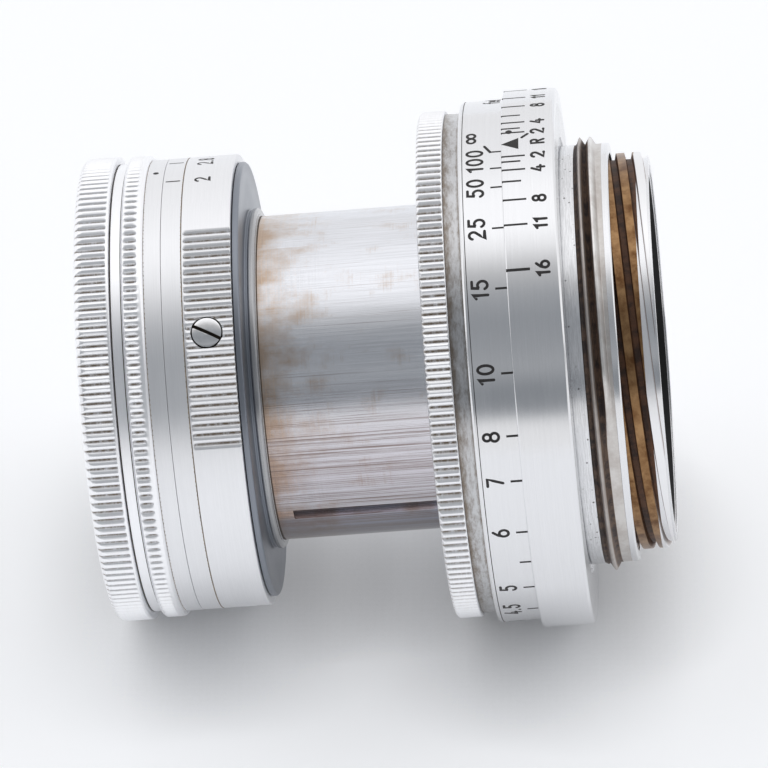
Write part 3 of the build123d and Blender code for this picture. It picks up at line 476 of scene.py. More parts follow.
# ---------------------------------------------------------------- materials
class Shader:
    """Small helper for building a node material."""

    def __init__(self, name):
        self.mat = bpy.data.materials.new(name)
        self.mat.use_nodes = True
        self.tree = self.mat.node_tree
        self.tree.nodes.clear()
        self.out = self.add("ShaderNodeOutputMaterial")
        self.bsdf = self.add("ShaderNodeBsdfPrincipled")
        self.link(self.bsdf, "BSDF", self.out, "Surface")

    def add(self, kind, **settings):
        node = self.tree.nodes.new(kind)
        for key, value in settings.items():
            setattr(node, key, value)
        return node

    def link(self, a, a_socket, b, b_socket):
        self.tree.links.new(a.outputs[a_socket], b.inputs[b_socket])

    def set(self, **values):
        for key, value in values.items():
            self.bsdf.inputs[key.replace("_", " ")].default_value = value

    def coords(self, scale, uv=True):
        """Texture coordinates: (round, along) of a turned surface, or object space in metres."""
        source = self.add("ShaderNodeTexCoord")
        mapping = self.add("ShaderNodeMapping")
        mapping.inputs["Scale"].default_value = scale
        self.link(source, "UV" if uv else "Object", mapping, "Vector")
        return mapping

    def noise(self, scale, detail=4.0, rough=0.6, uv=True):
        mapping = self.coords(scale, uv)
        node = self.add("ShaderNodeTexNoise")
        node.inputs["Scale"].default_value = 1.0
        node.inputs["Detail"].default_value = detail
        node.inputs["Roughness"].default_value = rough
        self.link(mapping, "Vector", node, "Vector")
        return node

    def ramp(self, node, socket, stops):
        ramp = self.add("ShaderNodeValToRGB")
        ramp.color_ramp.elements[0].position = stops[0][0]
        ramp.color_ramp.elements[0].color = stops[0][1]
        ramp.color_ramp.elements[1].position = stops[-1][0]
        ramp.color_ramp.elements[1].color = stops[-1][1]
        for position, color in stops[1:-1]:
            ramp.color_ramp.elements.new(position).color = color
        self.link(node, socket, ramp, "Fac")
        return ramp

    def mix(self, factor, a, b, blend="MIX"):
        """Mix two colours; each of factor, a and b is a constant or a (node, socket) pair."""
        node = self.add("ShaderNodeMix", data_type="RGBA", blend_type=blend)
        for socket, value in ((0, factor), (6, a), (7, b)):
            if isinstance(value, tuple) and hasattr(value[0], "outputs"):
                self.tree.links.new(value[0].outputs[value[1]], node.inputs[socket])
            else:
                node.inputs[socket].default_value = value
        return (node, 2)

    def math(self, operation, a, b=0.0, clamp=False):
        node = self.add("ShaderNodeMath", operation=operation, use_clamp=clamp)
        for socket, value in ((0, a), (1, b)):
            if isinstance(value, tuple):
                self.tree.links.new(value[0].outputs[value[1]], node.inputs[socket])
            else:
                node.inputs[socket].default_value = value
        return (node, 0)

    def to(self, pair, socket):
        self.tree.links.new(pair[0].outputs[pair[1]], self.bsdf.inputs[socket])

    def bump(self, pair, distance, strength=1.0):
        node = self.add("ShaderNodeBump")
        node.inputs["Strength"].default_value = strength
        node.inputs["Distance"].default_value = distance
        self.tree.links.new(pair[0].outputs[pair[1]], node.inputs["Height"])
        self.tree.links.new(node.outputs["Normal"], self.bsdf.inputs["Normal"])


def grey(v, tint=(1, 1, 1)):
    return (v * tint[0], v * tint[1], v * tint[2], 1.0)


GRIME = (0.19, 0.12, 0.052, 1.0)


def turned_chrome(name, base=0.80, roughness=0.2, lines=1.0, grime=0.0, spread=4.0, pits=False,
                  blotches=False, tint=(0.985, 0.99, 1.01)):
    """Satin chrome with the lathe's fine lines round it, and dirt where the grime layer says."""
    s = Shader(name)
    fine = s.noise((0.02, 7.0, 1.0), detail=3.0, rough=0.7)
    broad = s.noise((0.12, 0.35, 1.0), detail=5.0, rough=0.6)
    scratch = s.noise((0.5, 9.0, 1.0), detail=6.0, rough=0.8)
    value = s.math("MULTIPLY", (fine, "Fac"), 0.5)
    value = s.math("ADD", value, s.math("MULTIPLY", (scratch, "Fac"), 0.5))
    tone = s.ramp(value[0], value[1], [(0.25, grey(base * 0.94, tint)), (0.75, grey(base * 1.05, tint))])
    color = (tone, "Color")
    if pits:
        cells = s.add("ShaderNodeTexVoronoi")
        cells.inputs["Scale"].default_value = 1.5
        s.link(s.coords((1.0, 1.0, 1.0)), "Vector", cells, "Vector")
        clumps = s.noise((0.16, 0.7, 1.0), detail=4.0)
        where = s.ramp(clumps, "Fac", [(0.44, grey(0.0)), (0.56, grey(1.0))])
        hole = s.ramp(cells, "Distance", [(0.08, grey(1.0)), (0.17, grey(0.0))])
        brushed = s.ramp(scratch, "Fac", [(0.4, grey(0.62)), (0.58, grey(1.0))])
        color = s.mix(0.5, color, (brushed, "Color"), "MULTIPLY")
        pit = s.math("MULTIPLY", (hole, "Color"), (where, "Color"))
        color = s.mix(pit, color, (0.05, 0.045, 0.045, 1.0))
    if blotches:
        spots = s.noise((1.0, 2.2, 1.0), detail=8.0, rough=0.8)
        place = s.add("ShaderNodeTexCoord")
        split = s.add("ShaderNodeSeparateXYZ")
        s.link(place, "Object", split, "Vector")
        across = s.math("MULTIPLY_ADD", (split, "Y"), 1 / (1.5 * MM))
        across[0].inputs[2].default_value = 10.04 / 1.5
        near = s.ramp(across[0], 0, [
            (0.0, grey(0.30)), (0.35, grey(0.1)), (0.75, grey(0.0)), (0.92, grey(0.22))])
        stain_at = s.math("ADD", (spots, "Fac"), (near, "Color"))
        stain = s.ramp(stain_at[0], 0, [(0.50, grey(0.0)), (0.78, grey(0.8))])
        color = s.mix((stain, "Color"), color, (0.13, 0.088, 0.048, 1.0))
    wear = s.ramp(broad, "Fac", [(0.35, grey(0.0)), (0.75, grey(1.0))])
    rough = s.math("MULTIPLY_ADD", (wear, "Color"), 0.08)
    rough[0].inputs[2].default_value = roughness
    if grime > 0:
        layer = s.add("ShaderNodeAttribute", attribute_name="grime")
        blotch = s.noise((1.1, 1.6, 1.0), detail=7.0, rough=0.8)
        patch = s.ramp(blotch, "Fac", [(0.38, grey(0.15)), (0.54, grey(1.0))])
        depth = s.math("POWER", (layer, "Fac"), spread)
        amount = s.math("MULTIPLY", depth, (patch, "Color"))
        amount = s.math("MULTIPLY", amount, grime, clamp=True)
        color = s.mix(amount, color, GRIME)
        metal = s.math("SUBTRACT", 1.0, s.math("MULTIPLY", amount, 0.85))
        s.to(metal, "Metallic")
        rough = s.math("ADD", rough, s.math("MULTIPLY", amount, 0.5))
    else:
        s.set(Metallic=1.0)
    s.to(color, "Base Color")
    s.to(rough, "Roughness")
    s.bump(value, 0.000004 * lines)
    return s.mat


def tube_chrome(name):
    """Worn tube: lengthwise rubbing marks, brassing near the head, dark streaks underneath, painted shade on
    the low side (partly tarnish) and a painted highlight beside the keyway.
    """
    s = Shader(name)
    along = s.noise((9.0, 0.10, 1.0), detail=4.0, rough=0.75)
    scratch = s.noise((7.0, 0.03, 1.0), detail=5.0, rough=0.8)
    around = s.noise((0.10, 11.0, 1.0), detail=3.0, rough=0.7)
    blot = s.noise((0.30, 0.22, 1.0), detail=6.0, rough=0.6)
    place = s.add("ShaderNodeTexCoord")
    split = s.add("ShaderNodeSeparateXYZ")
    s.link(place, "Object", split, "Vector")
    from_head = s.math("MULTIPLY_ADD", (split, "Y"), 1 / (20 * MM))
    from_head[0].inputs[2].default_value = 27.6 / 20
    turn = s.math("ARCTAN2", (split, "X"), (split, "Z"))
    turn = s.math("MULTIPLY", turn, 1 / math.pi)
    cool = (0.97, 0.985, 1.03)
    tone = s.ramp(along, "Fac", [(0.3, grey(0.66, cool)), (0.7, grey(0.86, cool))])
    worn = s.ramp(from_head[0], 0, [
        (0.0, grey(0.42)), (0.05, grey(0.25)), (0.2, grey(0.12)), (0.4, grey(0.0))])
    brass_at = s.math("ADD", (blot, "Fac"), (worn, "Color"))
    brass_at = s.math("ADD", brass_at, s.math("MULTIPLY", (around, "Fac"), 0.35))
    brass_at = s.math("ADD", brass_at, s.math("MULTIPLY", (along, "Fac"), 0.35))
    brass_at = s.math("MULTIPLY", brass_at, 0.6)
    brass = s.ramp(brass_at[0], 0, [(0.55, grey(0.0)), (0.74, grey(0.75))])
    color = s.mix((brass, "Color"), (tone, "Color"), (0.42, 0.26, 0.13, 1.0))
    rings = s.ramp(around, "Fac", [(0.4, grey(0.35)), (0.56, grey(1.0))])
    color = s.mix((worn, "Color"), color, s.mix(1.0, color, (rings, "Color"), "MULTIPLY"))
    # painted shade by angle round the tube: darker on the low side, standing in for the reflected floor
    # shadow and partly tarnish, and a painted highlight as a pink edge beside the keyway
    painted_low_shade_and_keyway_highlight = s.ramp(turn[0], 0, [
        (0.3, grey(1.0)), (0.40, (0.90, 0.87, 0.88, 1.0)), (0.50, (0.80, 0.76, 0.78, 1.0)),
        (0.589, (0.80, 0.78, 0.80, 1.0)), (0.592, (1.0, 0.93, 0.92, 1.0)), (0.608, (0.95, 0.86, 0.85, 1.0)),
        (0.611, (0.75, 0.74, 0.78, 1.0)), (0.622, (0.65, 0.65, 0.70, 1.0)), (0.625, (0.42, 0.43, 0.48, 1.0)),
        (0.72, (0.42, 0.43, 0.48, 1.0)), (0.80, (0.7, 0.7, 0.7, 1.0))])
    color = s.mix(1.0, color, (painted_low_shade_and_keyway_highlight, "Color"), "MULTIPLY")
    low_side = s.ramp(turn[0], 0, [(0.28, grey(0.0)), (0.42, grey(0.12)), (0.7, grey(0.14))])
    line_at = s.math("ADD", (scratch, "Fac"), (low_side, "Color"))
    line = s.ramp(line_at[0], 0, [(0.59, grey(0.0)), (0.72, grey(0.85))])
    color = s.mix((line, "Color"), color, (0.20, 0.14, 0.12, 1.0))
    s.to(color, "Base Color")
    s.set(Metallic=1.0)
    rough = s.math("MULTIPLY_ADD", (along, "Fac"), 0.16)
    rough[0].inputs[2].default_value = 0.14
    s.to(rough, "Roughness")
    s.bump((along, "Fac"), 0.000006)
    return s.mat


def aged_brass(name, clean, dirty, stain=1.0, silver_from=None):
    """Brass thread: tan crests, dark dirty valleys, and bright lands behind silver_from (y in mm)."""
    s = Shader(name)
    layer = s.add("ShaderNodeAttribute", attribute_name="grime")
    spots = s.noise((420.0, 420.0, 420.0), detail=6.0, rough=0.7, uv=False)
    patch = s.ramp(spots, "Fac", [(0.38, grey(0.0)), (0.60, grey(1.0))])
    stained = (clean[0] * 0.38, clean[1] * 0.30, clean[2] * 0.26, 1.0)
    tan = s.mix(s.math("MULTIPLY", (patch, "Color"), stain), clean, stained)
    if silver_from is not None:
        place = s.add("ShaderNodeTexCoord")
        split = s.add("ShaderNodeSeparateXYZ")
        s.link(place, "Object", split, "Vector")
        behind = s.math("GREATER_THAN", (split, "Y"), silver_from * MM)
        tan = s.mix(behind, tan, (0.86, 0.86, 0.87, 1.0))
    brown = (dirty[0] * 3.5, dirty[1] * 3.0, dirty[2] * 2.2, 1.0)
    color = s.mix(s.math("MULTIPLY", (layer, "Fac"), 2.2, clamp=True), tan, brown)
    deep = s.math("MULTIPLY_ADD", (layer, "Fac"), 2.0, clamp=True)
    deep[0].inputs[2].default_value = -1.0
    blobs = s.noise((900.0, 500.0, 900.0), detail=5.0, rough=0.7, uv=False)
    clot = s.ramp(blobs, "Fac", [(0.42, grey(0.25)), (0.58, grey(1.0))])
    color = s.mix(s.math("MULTIPLY", deep, (clot, "Color")), color, dirty)
    s.to(color, "Base Color")
    metal = s.math("SUBTRACT", 1.0, s.math("MULTIPLY", (layer, "Fac"), 0.7))
    s.to(metal, "Metallic")
    rough = s.math("MULTIPLY_ADD", (layer, "Fac"), 0.3)
    rough[0].inputs[2].default_value = 0.3
    s.to(rough, "Roughness")
    s.bump((spots, "Fac"), 0.00002)
    return s.mat


def plain(name, color, metallic, roughness, texture=300.0, spread=0.15, bump=0.00001):
    """Simple finish with a little unevenness in colour and gloss."""
    s = Shader(name)
    n = s.noise((texture, texture, texture), detail=5.0, rough=0.65, uv=False)
    low = tuple(c * (1 - spread) for c in color) + (1.0,)
    high = tuple(min(c * (1 + spread), 1.0) for c in color) + (1.0,)
    tone = s.ramp(n, "Fac", [(0.3, low), (0.7, high)])
    s.to((tone, "Color"), "Base Color")
    s.set(Metallic=metallic)
    rough = s.math("MULTIPLY_ADD", (n, "Fac"), 0.12)
    rough[0].inputs[2].default_value = roughness - 0.06
    s.to(rough, "Roughness")
    s.bump((n, "Fac"), bump)
    return s.mat


def glass(name, tint, coat):
    """Coated optical glass."""
    s = Shader(name)
    n = s.noise((90.0, 90.0, 90.0), detail=2.0, uv=False)
    tone = s.ramp(n, "Fac", [(0.3, tuple(c * 0.985 for c in tint) + (1.0,)), (0.7, tint + (1.0,))])
    s.to((tone, "Color"), "Base Color")
    s.set(Roughness=0.0, IOR=1.5, Transmission_Weight=1.0, Specular_Tint=coat + (1.0,))
    return s.mat


CHROME = turned_chrome("satin_chrome", 0.80, 0.13)
SATIN = turned_chrome("soft_satin_chrome", 0.84, 0.35, lines=0.5)
COLLAR = turned_chrome("dull_chrome", 0.42, 0.2)
CHROME_DARK = turned_chrome("darkened_chrome", 0.28, 0.3, tint=(0.90, 0.97, 1.10))
KNURL = turned_chrome("knurl_chrome", 0.98, 0.32, lines=0.3, grime=1.0)
APERTURE_KNURL = turned_chrome("satin_knurl_chrome", 0.86, 0.35, lines=0.3, grime=1.0, spread=3.0)
FOCUS_KNURL = turned_chrome("worn_knurl_chrome", 0.97, 0.32, lines=0.3, grime=1.0, spread=2.2)
PITTED = turned_chrome("pitted_chrome", 0.80, 0.16, pits=True)
BAND = turned_chrome("grimy_chrome", 0.56, 0.22, blotches=True)
TUBE = tube_chrome("tube_chrome")
BRASS = aged_brass("aged_brass", (0.36, 0.215, 0.105, 1.0), (0.045, 0.024, 0.016, 1.0), silver_from=6.5)
MOUNT_THREAD = aged_brass("mount_thread", (0.80, 0.79, 0.77, 1.0), (0.05, 0.038, 0.036, 1.0), stain=0.35)
SCREW = plain("screw_steel", (0.80, 0.80, 0.81), 1.0, 0.1, texture=900.0, spread=0.06)
BLACK = plain("black_lacquer", (0.012, 0.012, 0.013), 0.0, 0.45, bump=0.000002)
INK = plain("engraving_paint", (0.018, 0.016, 0.016), 0.0, 0.6, spread=0.4)
STEEL = plain("polished_steel", (0.78, 0.78, 0.79), 1.0, 0.16)
BLADE = plain("blued_blades", (0.10, 0.105, 0.12), 1.0, 0.4)
PLAIN_BRASS = plain("turned_brass", (0.72, 0.56, 0.30), 1.0, 0.3)
# near-black packed dirt, also used as painted shade inside the tab-screw recesses and slots
DIRT_AND_RECESS_SHADE = plain("packed_dirt_and_recess_shade", (0.035, 0.024, 0.015), 0.0, 0.7, texture=1500.0, spread=0.7)
SEAM = plain("seam_dirt", (0.22, 0.16, 0.10), 0.0, 0.6, texture=1200.0, spread=0.8)
FELT = plain("black_felt", (0.02, 0.02, 0.02), 0.0, 0.95, texture=3000.0)
GLASS = glass("coated_glass", (0.97, 0.98, 1.0), (0.7, 0.75, 1.0))


def use(obj, material):
    obj.data.materials.clear()
    obj.data.materials.append(material)


def piece(obj, material, body, slot, *replaced):
    if material:
        use(obj, material)
    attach(obj, body)
    if replaced:
        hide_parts(*replaced)
    return obj


def line_bore(obj, radius, material):
    """Second material on the faces inside a radius."""
    obj.data.materials.append(material)
    for face in obj.data.polygons:
        if math.hypot(face.center.x, face.center.z) < radius * MM:
            face.material_index = 1


# ---------------------------------------------------------------- head
TAB_ARCS = ((9, 67), (189, 247))

piece(knurled("front_ring_knurled", [
    (19.48, -42.87), (20.1, -42.87), (20.55, -42.72), (20.82, -42.4), (20.9, -42.0), (20.9, -39.78),
    (20.83, -39.71), (19.35, -39.71), (19.35, -38.85), (17.9, -38.85), (17.9, -40.3), (19.0, -40.3),
    (19.0, -41.72), (19.23, -41.72), (19.23, -42.6)],
    155, 0.32, (-42.95, -39.93), (0.5, 0.16)), KNURL, "barrel", "chrome", "filter_ring")

piece(knurled("bezel_knurled", [
    (19.4, -39.71), (20.1, -39.71), (20.2, -39.62), (20.2, -38.65), (20.55, -38.65), (20.8, -38.45),
    (20.8, -36.9), (20.6, -36.69), (19.2, -36.69), (19.2, -38.4), (19.4, -38.4)],
    153, 0.32, (-38.4, -37.2), (0.34, 0.34), rows=8), KNURL, "barrel", "chrome", "front_bezel")

piece(revolve("index_ring_turned", [
    (19.2, -36.69), (20.35, -36.69), (20.35, -35.15), (19.2, -35.15)], radius=0.04),
    SATIN, "barrel", "chrome", "index_ring")

piece(revolve("aperture_tick_ring_turned", [
    (19.28, -35.12), (20.35, -35.12), (20.35, -33.34), (19.28, -33.34)], radius=0.04),
    SATIN, "aperture", "chrome", "aperture_tick_ring")

aperture_ring = knurled("aperture_ring_knurled", [
    (19.28, -33.34), (20.28, -33.34), (20.35, -33.27), (20.35, -29.06), (20.27, -28.98), (19.28, -28.98)],
    148, 0.3, (-33.17, -28.8), (0.3, 0.0), radius=0.03, arcs=TAB_ARCS)
piece(aperture_ring, APERTURE_KNURL, "aperture", "chrome", "aperture_ring")
# the recess round each tab screw and its slot are lined near-black: partly dirt, partly painted shade
for number, phi in enumerate((39, 219)):
    drill(aperture_ring, phi, -31.3, 20.35, 1.42, 0.62, DIRT_AND_RECESS_SHADE)
    head = slotted_screw(
        "aperture_tab_screw_head_%d" % (number + 1), phi, -31.3, 20.26, 1.29, 0.3, 62, DIRT_AND_RECESS_SHADE, dome=0.18)
    piece(head, None, "aperture", "screw_steel", "aperture_tab_screw_%d" % (number + 1))

piece(revolve("head_flange_turned", [
    (14.6, -28.9), (19.6, -28.9), (19.6, -28.5), (19.45, -28.35), (15.2, -28.35), (15.2, -28.05),
    (14.6, -28.05)], radius=0.05), CHROME_DARK, "barrel", "chrome", "head_collar")
piece(revolve("head_collar_turned", [
    (14.6, -28.05), (15.25, -28.05), (15.35, -27.95), (15.35, -27.6), (15.2, -27.42), (14.85, -27.42),
    (14.85, -27.36), (14.6, -27.36)], radius=0.05), COLLAR, "barrel", "chrome")


def element(name, front, rear, front_curve, rear_curve, edge):
    """Lens between two spherical faces, both centred behind it."""
    reach = edge * np.linspace(0, 1, 25) ** 0.8
    def face(vertex, curve):
        return [(r, vertex + curve - math.sqrt(curve ** 2 - r ** 2)) for r in reach]
    outline = np.array(face(front, front_curve) + face(rear, rear_curve)[::-1])
    phi = np.arange(160) * TURN / 160
    r, y = outline[:, 0][:, None], outline[:, 1][:, None]
    points = np.stack([r * np.sin(phi), y * np.ones_like(phi), r * np.cos(phi)], -1)
    obj = grid_object(name, points, phi=phi)
    make_normals_face_out(obj)
    return obj


piece(element("lens_1_polished", -40.0, -37.3, 36.0, 90.0, 13.4), GLASS, "barrel", "glass", "lens_1")

piece(revolve("name_ring_turned", [
    (13.9, -38.75), (14.4, -38.95), (14.4, -39.0), (15.0, -39.15), (15.0, -39.25), (17.5, -39.9),
    (17.8, -39.9), (17.8, -38.75), (18.15, -38.75), (18.15, -38.4), (13.5, -38.4), (13.5, -38.75)],
    radius=0.04), BLACK, "barrel", "black_paint", "name_ring")

# ---------------------------------------------------------------- focusing group
piece(knurled("focus_ring_knurled", [
    (14.85, -12.37), (22.5, -12.37), (22.8, -12.12), (22.8, -10.2), (22.7, -10.04), (16.6, -10.04),
    (16.6, -11.3), (14.85, -11.3)], 175, 0.32, (-12.5, -10.12), (0.45, 0.14)),
    FOCUS_KNURL, "focus", "chrome", "focus_knurled_ring")

piece(revolve("distance_ring_turned", [
    (21.5, -8.6), (23.25, -8.6), (23.4, -8.42), (23.4, -1.6),
    (22.65, -1.6), (22.65, -7.4), (21.5, -7.4)], radius=0.04, columns=512),
    CHROME, "focus", "chrome", "distance_scale_ring")

piece(revolve("depth_ring_turned", [
    (22.6, 0.0), (23.93, 0.0), (24.13, -0.2), (24.13, -4.6), (24.05, -4.7), (23.55, -4.7), (23.55, -1.3),
    (19.4, -1.3), (19.4, -0.8), (22.6, -0.8)], radius=0.05, columns=512),
    CHROME, "mount", "chrome", "depth_scale_ring")


def helicoid_section(phase, y, phi):
    """Trapezoid grooves between flat lands."""
    t = np.abs(phase - 0.5)
    return 17.80 - 0.6 * np.clip((0.25 - t) / 0.08, 0, 1)


def helicoid_grime(phase, y, r):
    """Dark in the grooves and a little way up their sides; thinner behind, where the lands are silver."""
    return np.clip((17.7 - r) / 0.35, 0, 1) * np.clip(1.0 - (y - 6.3) / 1.0, 0.45, 1)


helicoid = threaded("helicoid_thread", -7.7, 7.6, 15.85, 5.83, 4, helicoid_section, grime_of=helicoid_grime)
piece(helicoid, BRASS, "focus", "helicoid_brass", "helicoid_sleeve")
line_bore(helicoid, 16.0, BLACK)
piece(revolve("sleeve_disc", [
    (16.6, -10.04), (22.45, -10.04), (22.45, -8.6), (21.5, -8.6), (21.5, -7.7), (17.0, -7.7), (17.0, -8.7),
    (14.75, -8.7), (14.75, -9.4), (16.6, -9.4)], columns=512), BAND, "focus", "helicoid_brass")

piece(revolve("cam_ring_turned", [
    (16.55, 6.65), (17.25, 6.65), (17.25, 7.8), (16.55, 7.8)], radius=0.05),
    CHROME, "cam", "plain_brass", "rangefinder_cam_ring")


MOUNT_LEAD = 0.977      # 26 turns to the inch
CREST_AT_52 = 1.93      # a thread crest passes here at phi 52
MOUNT_PHASE = (CREST_AT_52 / MOUNT_LEAD - 52 / 360) % 1.0
LAST_CREST_END = 23     # degrees past phi 52 where the last turn has run out


def mount_turn(y, phi):
    """Degrees past phi 52, and y brought back along the helix to phi 52."""
    past = (np.degrees(phi) - 52 + 180) % 360 - 180
    return past, y - MOUNT_LEAD * past / 360


def mount_section(phase, y, phi):
    """Sharp V thread that starts and ends against the plain bands."""
    t = np.abs((phase - MOUNT_PHASE + 0.5) % 1.0 - 0.5) * 2
    ridge = 0.68 * np.clip((1 - t) * 1.25 - 0.06, 0, 1)
    past, home = mount_turn(y, phi)
    last = np.clip((LAST_CREST_END - past) / 18, 0, 1)
    fade = np.where(home > CREST_AT_52 + 1.4655, 0, np.where(home > CREST_AT_52 + 0.4885, last, 1))
    return 18.8 + ridge * fade * np.clip((y - 1.36) / 0.35, 0, 1)


def mount_grime(phase, y, r):
    """Full up to the last crest, and clean on the flank behind it."""
    past, home = mount_turn(y, np.arange(r.shape[1]) * TURN / r.shape[1])
    end = CREST_AT_52 + 1.04 - 0.3 * np.clip((past - 5) / 20, 0, 1)
    dirt = np.clip((19.36 - r) / 0.26, 0, 1) * np.clip((end - home) / 0.08, 0.1, 1)
    return np.where(home < CREST_AT_52 + 0.4885, np.maximum(dirt, 0.22), dirt)


mount_thread = threaded(
    "mount_thread_band", 1.3, 3.7, 17.9, MOUNT_LEAD, 1, mount_section, grime_of=mount_grime)
piece(mount_thread, MOUNT_THREAD, "mount", "helicoid_brass", "mount_barrel")
piece(revolve("mount_flange_turned", [
    (17.9, -3.7), (19.3, -3.7), (19.3, -0.8), (22.6, -0.8), (22.6, 0.0), (19.65, 0.0), (19.65, -0.25),
    (18.83, -0.25), (18.83, 1.24), (18.7, 1.33), (17.9, 1.33)], radius=0.04, columns=512),
    PITTED, "mount", "chrome")
piece(revolve("mount_end_turned", [
    (17.9, 3.6), (18.7, 3.6), (18.83, 3.72), (18.83, 4.2), (18.7, 4.34), (17.9, 4.34)],
    radius=0.04, columns=512), CHROME, "mount", "chrome")

# ---------------------------------------------------------------- tube
GUIDE_PHI = 108.9
GUIDE_HALF = math.degrees(0.7 / 14.6)


def guide_groove(phi, y, r):
    """Straight keyway along the tube, open at its rear end."""
    off = np.degrees(phi) - GUIDE_PHI
    sloped = np.clip((off + GUIDE_HALF) / (0.9 * GUIDE_HALF), 0, 1)
    across = sloped * np.clip((GUIDE_HALF - off) / 0.1, 0, 1)
    return np.where((y > -25.8) & (r > 14.0), 0.5 * across, 0.0)


groove_edges = [GUIDE_PHI + k * GUIDE_HALF for k in (-1.0, -0.55, -0.1, 0.0, 0.5, 0.96, 1.0)]
piece(revolve("tube_turned", [
    (13.6, -28.9), (14.6, -28.9), (14.6, -25.9), (14.6, -25.75), (14.6, -6.8), (13.6, -6.8)],
    radius=0.03, carve=guide_groove, extra=groove_edges), TUBE, "barrel", "chrome", "collapsing_tube")

# ---------------------------------------------------------------- marks
DIGIT = 0.25            # width of an engraved stroke

depth = Marks("depth_ring_marks", 24.13)
for stop, label in ((2, "2"), (2.8, ""), (4, "4"), (5.6, ""), (8, "8"), (11, "11"), (16, "16")):
    for side in (-1, 1):
        angle = 2.05 * stop * side
        depth.tick(angle, -4.68, -2.6 if label else -3.0, 0.19 if stop < 16 else 0.26)
        if label:
            depth.text(label, angle, -0.95, 1.09, DIGIT)
depth.fill([(0.0, -4.66), (0.8, -3.15), (-0.8, -3.15)])
depth.text("R", -0.3, -0.95, 1.09, DIGIT)
depth.stroke([(-1.35, -2.35), (-0.85, -2.85)], DIGIT)
depth.dot(-4.4, -4.0, 0.3)
piece(depth.build(), INK, "mount", "black_paint")

distance = Marks("distance_ring_marks", 23.4)
for angle, label, shift in ((0.0, "", 0), (5.5, "100", -2.8), (11.2, "50", 0), (22.0, "25", 0),
                            (36.0, "15", 0), (54.2, "10", 0), (67.8, "8", 0), (78.2, "7", 0),
                            (91.5, "6", 0), (100.8, "", 0),
                            (110.5, "5", 0), (122.5, "4.5", 0), (139.5, "4", 0), (166.0, "3.5", 0)):
    distance.tick(angle, -5.75, -4.72, 0.17 if angle < 30 else 0.2)
    if label:
        distance.text(label, angle + shift, -6.41, 1.35, DIGIT)
distance.text("", -5.7, -6.65, 1.45, DIGIT, glyphs=["infinity"])
distance.stroke([(0.0, -5.7), (-0.9, -6.2)], DIGIT)
distance.stroke([(0.0, -8.2), (TURN * 23.4, -8.2)], 0.07, square=True)
distance.text("feet", -31.0, -5.1, 1.35, 0.2, spacing=0.2)
piece(distance.build(), INK, "focus", "black_paint")

aperture = Marks("aperture_ring_marks", 20.35)
for number, label in enumerate(("2", "2.8", "4", "5.6", "8", "11", "16")):
    angle = -11 - 14 * number
    aperture.tick(angle, -34.9, -33.6, 0.16)
    aperture.text(label, angle, -31.0, 1.25, 0.2)
piece(aperture.build(), INK, "aperture", "black_paint")

index = Marks("index_ring_dot", 20.35)
index.dot(-17.0, -35.9, 0.26)
piece(index.build(), INK, "barrel", "black_paint")

for name, radius, y, material, body in (("seam_knurl", 20.2, -39.63, DIRT_AND_RECESS_SHADE, "barrel"),
                                        ("seam_bezel", 20.2, -38.72, DIRT_AND_RECESS_SHADE, "barrel"),
                                        ("seam_front", 20.34, -36.66, SEAM, "barrel"),
                                        ("seam_rear", 20.34, -33.36, SEAM, "aperture"),
                                        ("seam_tube", 14.6, -27.3, DIRT_AND_RECESS_SHADE, "barrel")):
    seam = Marks(name, radius)
    seam.stroke([(0.0, y), (TURN * radius, y)], 0.08, square=True)
    piece(seam.build(), material, body, "black_paint")

# ---------------------------------------------------------------- carried nodes
for name, node in nodes.items():
    if name.startswith("lens_") or name == "filter_glass":
        use(node, GLASS)
    elif name.startswith("iris_blade"):
        use(node, BLADE)
    elif "screw" in name or name == "button_spring":
        use(node, STEEL)
    elif name in ("guide_key", "tube_guide_ring"):
        use(node, PLAIN_BRASS)
    elif name == "tube_light_seal":
        use(node, FELT)
    elif name in ("focus_lever", "infinity_button", "infinity_catch"):
        use(node, STEEL)
    else:
        use(node, BLACK)

# ---------------------------------------------------------------- floor, light, camera
FLOOR_TILT = math.radians(4.7)
FLOOR_GLOW = 0.50
bpy.ops.mesh.primitive_plane_add(size=6.0)
floor = bpy.context.object
floor.name = "floor"
floor.rotation_euler = (-FLOOR_TILT, 0, 0)
floor.location = (0, -0.002, -0.02423)
floor_shader = Shader("floor_white")
weave = floor_shader.add("ShaderNodeTexVoronoi")
weave.inputs["Scale"].default_value = 1400.0
weave.inputs["Randomness"].default_value = 0.25
floor_shader.link(floor_shader.coords((1.0, 1.0, 1.0), uv=False), "Vector", weave, "Vector")
cloth = floor_shader.ramp(weave, "Distance", [
    (0.2, (0.59, 0.597, 0.608, 1.0)), (0.6, (0.60, 0.606, 0.618, 1.0))])
# part of the floor's brightness is its own glow, dimmed by ambient occlusion near the lens: a painted
# contact shadow
painted_contact_shadow = floor_shader.add("ShaderNodeAmbientOcclusion", samples=8)
painted_contact_shadow.inputs["Distance"].default_value = 0.012
floor_shader.to(floor_shader.math("MULTIPLY", (painted_contact_shadow, "AO"), FLOOR_GLOW), "Emission Strength")
floor_shader.to((cloth, "Color"), "Base Color")
floor_shader.set(Roughness=0.95, Emission_Color=(0.97, 0.98, 1.0, 1.0))
use(floor, floor_shader.mat)

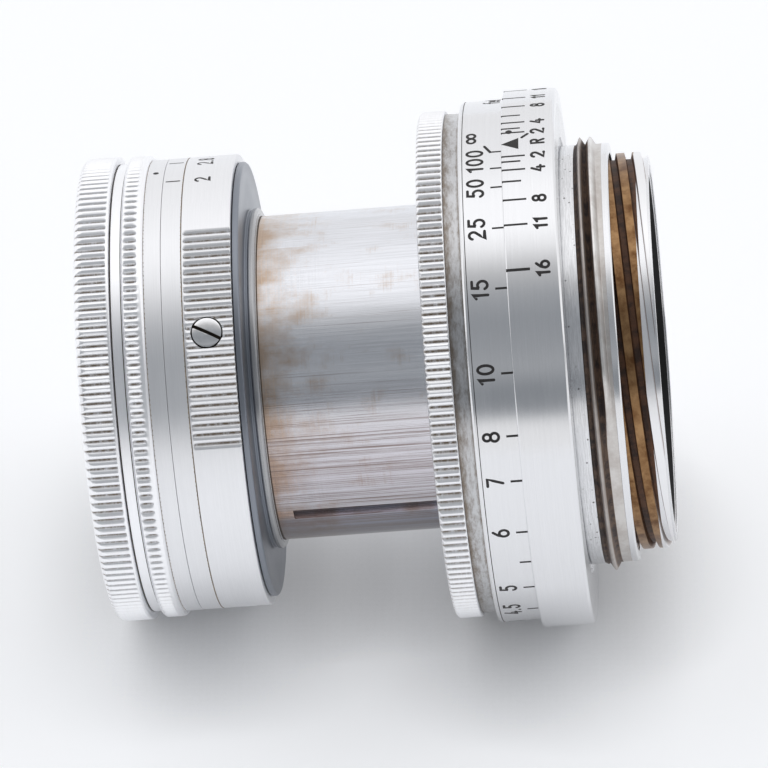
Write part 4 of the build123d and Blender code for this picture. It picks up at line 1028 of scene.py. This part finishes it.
# brightness of the surroundings against the angle about the lens axis: 0 is straight up, 90 is the
# horizon on the camera's side, where a darker room stands between 15 and 80 degrees
SURROUND = ((-180, 0.94), (-90, 0.94), (-50, 1.02), (-25, 1.2), (-6, 1.22), (2, 1.05), (13, 0.58),
            (24, 0.40), (34, 0.33), (45, 0.36), (55, 0.42), (64, 0.28), (72, 0.29),
            (75, 0.42), (79, 0.94), (180, 0.94))
world = bpy.data.worlds.new("studio")
bpy.context.scene.world = world
world.use_nodes = True
tree = world.node_tree
background = tree.nodes["Background"]
direction = tree.nodes.new("ShaderNodeTexCoord")
parts = tree.nodes.new("ShaderNodeSeparateXYZ")
tree.links.new(direction.outputs["Generated"], parts.inputs[0])
angle_about = tree.nodes.new("ShaderNodeMath")
angle_about.operation = "ARCTAN2"
tree.links.new(parts.outputs["X"], angle_about.inputs[0])
tree.links.new(parts.outputs["Z"], angle_about.inputs[1])
share = tree.nodes.new("ShaderNodeMath")
share.operation = "MULTIPLY_ADD"
share.inputs[1].default_value = 1 / TURN
share.inputs[2].default_value = 0.5
tree.links.new(angle_about.outputs[0], share.inputs[0])
sky = tree.nodes.new("ShaderNodeValToRGB")
sky.color_ramp.elements.remove(sky.color_ramp.elements[0])
BRIGHTEST = 1.25
for number, (angle, level) in enumerate(SURROUND):
    place = (angle + 180) / 360
    stop = sky.color_ramp.elements[0] if number == 0 else sky.color_ramp.elements.new(place)
    stop.position = place
    cool = 1.0 + 0.2 * max(0.0, 0.6 - level)
    stop.color = (level / BRIGHTEST / cool, level / BRIGHTEST, level / BRIGHTEST * cool * 1.01, 1.0)
tree.links.new(share.outputs[0], sky.inputs["Fac"])
tree.links.new(sky.outputs["Color"], background.inputs["Color"])
background.inputs["Strength"].default_value = BRIGHTEST

AZIMUTH = math.radians(94.91)
ELEVATION = math.radians(38.5)
ROLL = math.radians(-7.33)
DISTANCE = 0.6
level_share = math.cos(ELEVATION)
back = Vector((math.sin(AZIMUTH) * level_share, -math.cos(AZIMUTH) * level_share, math.sin(ELEVATION)))
right = Vector((0, 0, 1)).cross(back).normalized()
up = back.cross(right)
right, up = (right * math.cos(ROLL) + up * math.sin(ROLL), up * math.cos(ROLL) - right * math.sin(ROLL))
target = Vector((0, -0.0174, 0)) + up * -0.0013
camera_data = bpy.data.cameras.new("camera")
camera = bpy.data.objects.new("camera", camera_data)
bpy.context.scene.collection.objects.link(camera)
camera_data.lens = 6665.2 / 768 * 36.0
camera_data.sensor_width = 36.0
camera_data.clip_start = 0.01
camera.matrix_world = Matrix((
    (right.x, up.x, back.x, target.x + back.x * DISTANCE),
    (right.y, up.y, back.y, target.y + back.y * DISTANCE),
    (right.z, up.z, back.z, target.z + back.z * DISTANCE),
    (0, 0, 0, 1)))
bpy.context.scene.camera = camera
bpy.context.scene.view_settings.view_transform = "Standard"
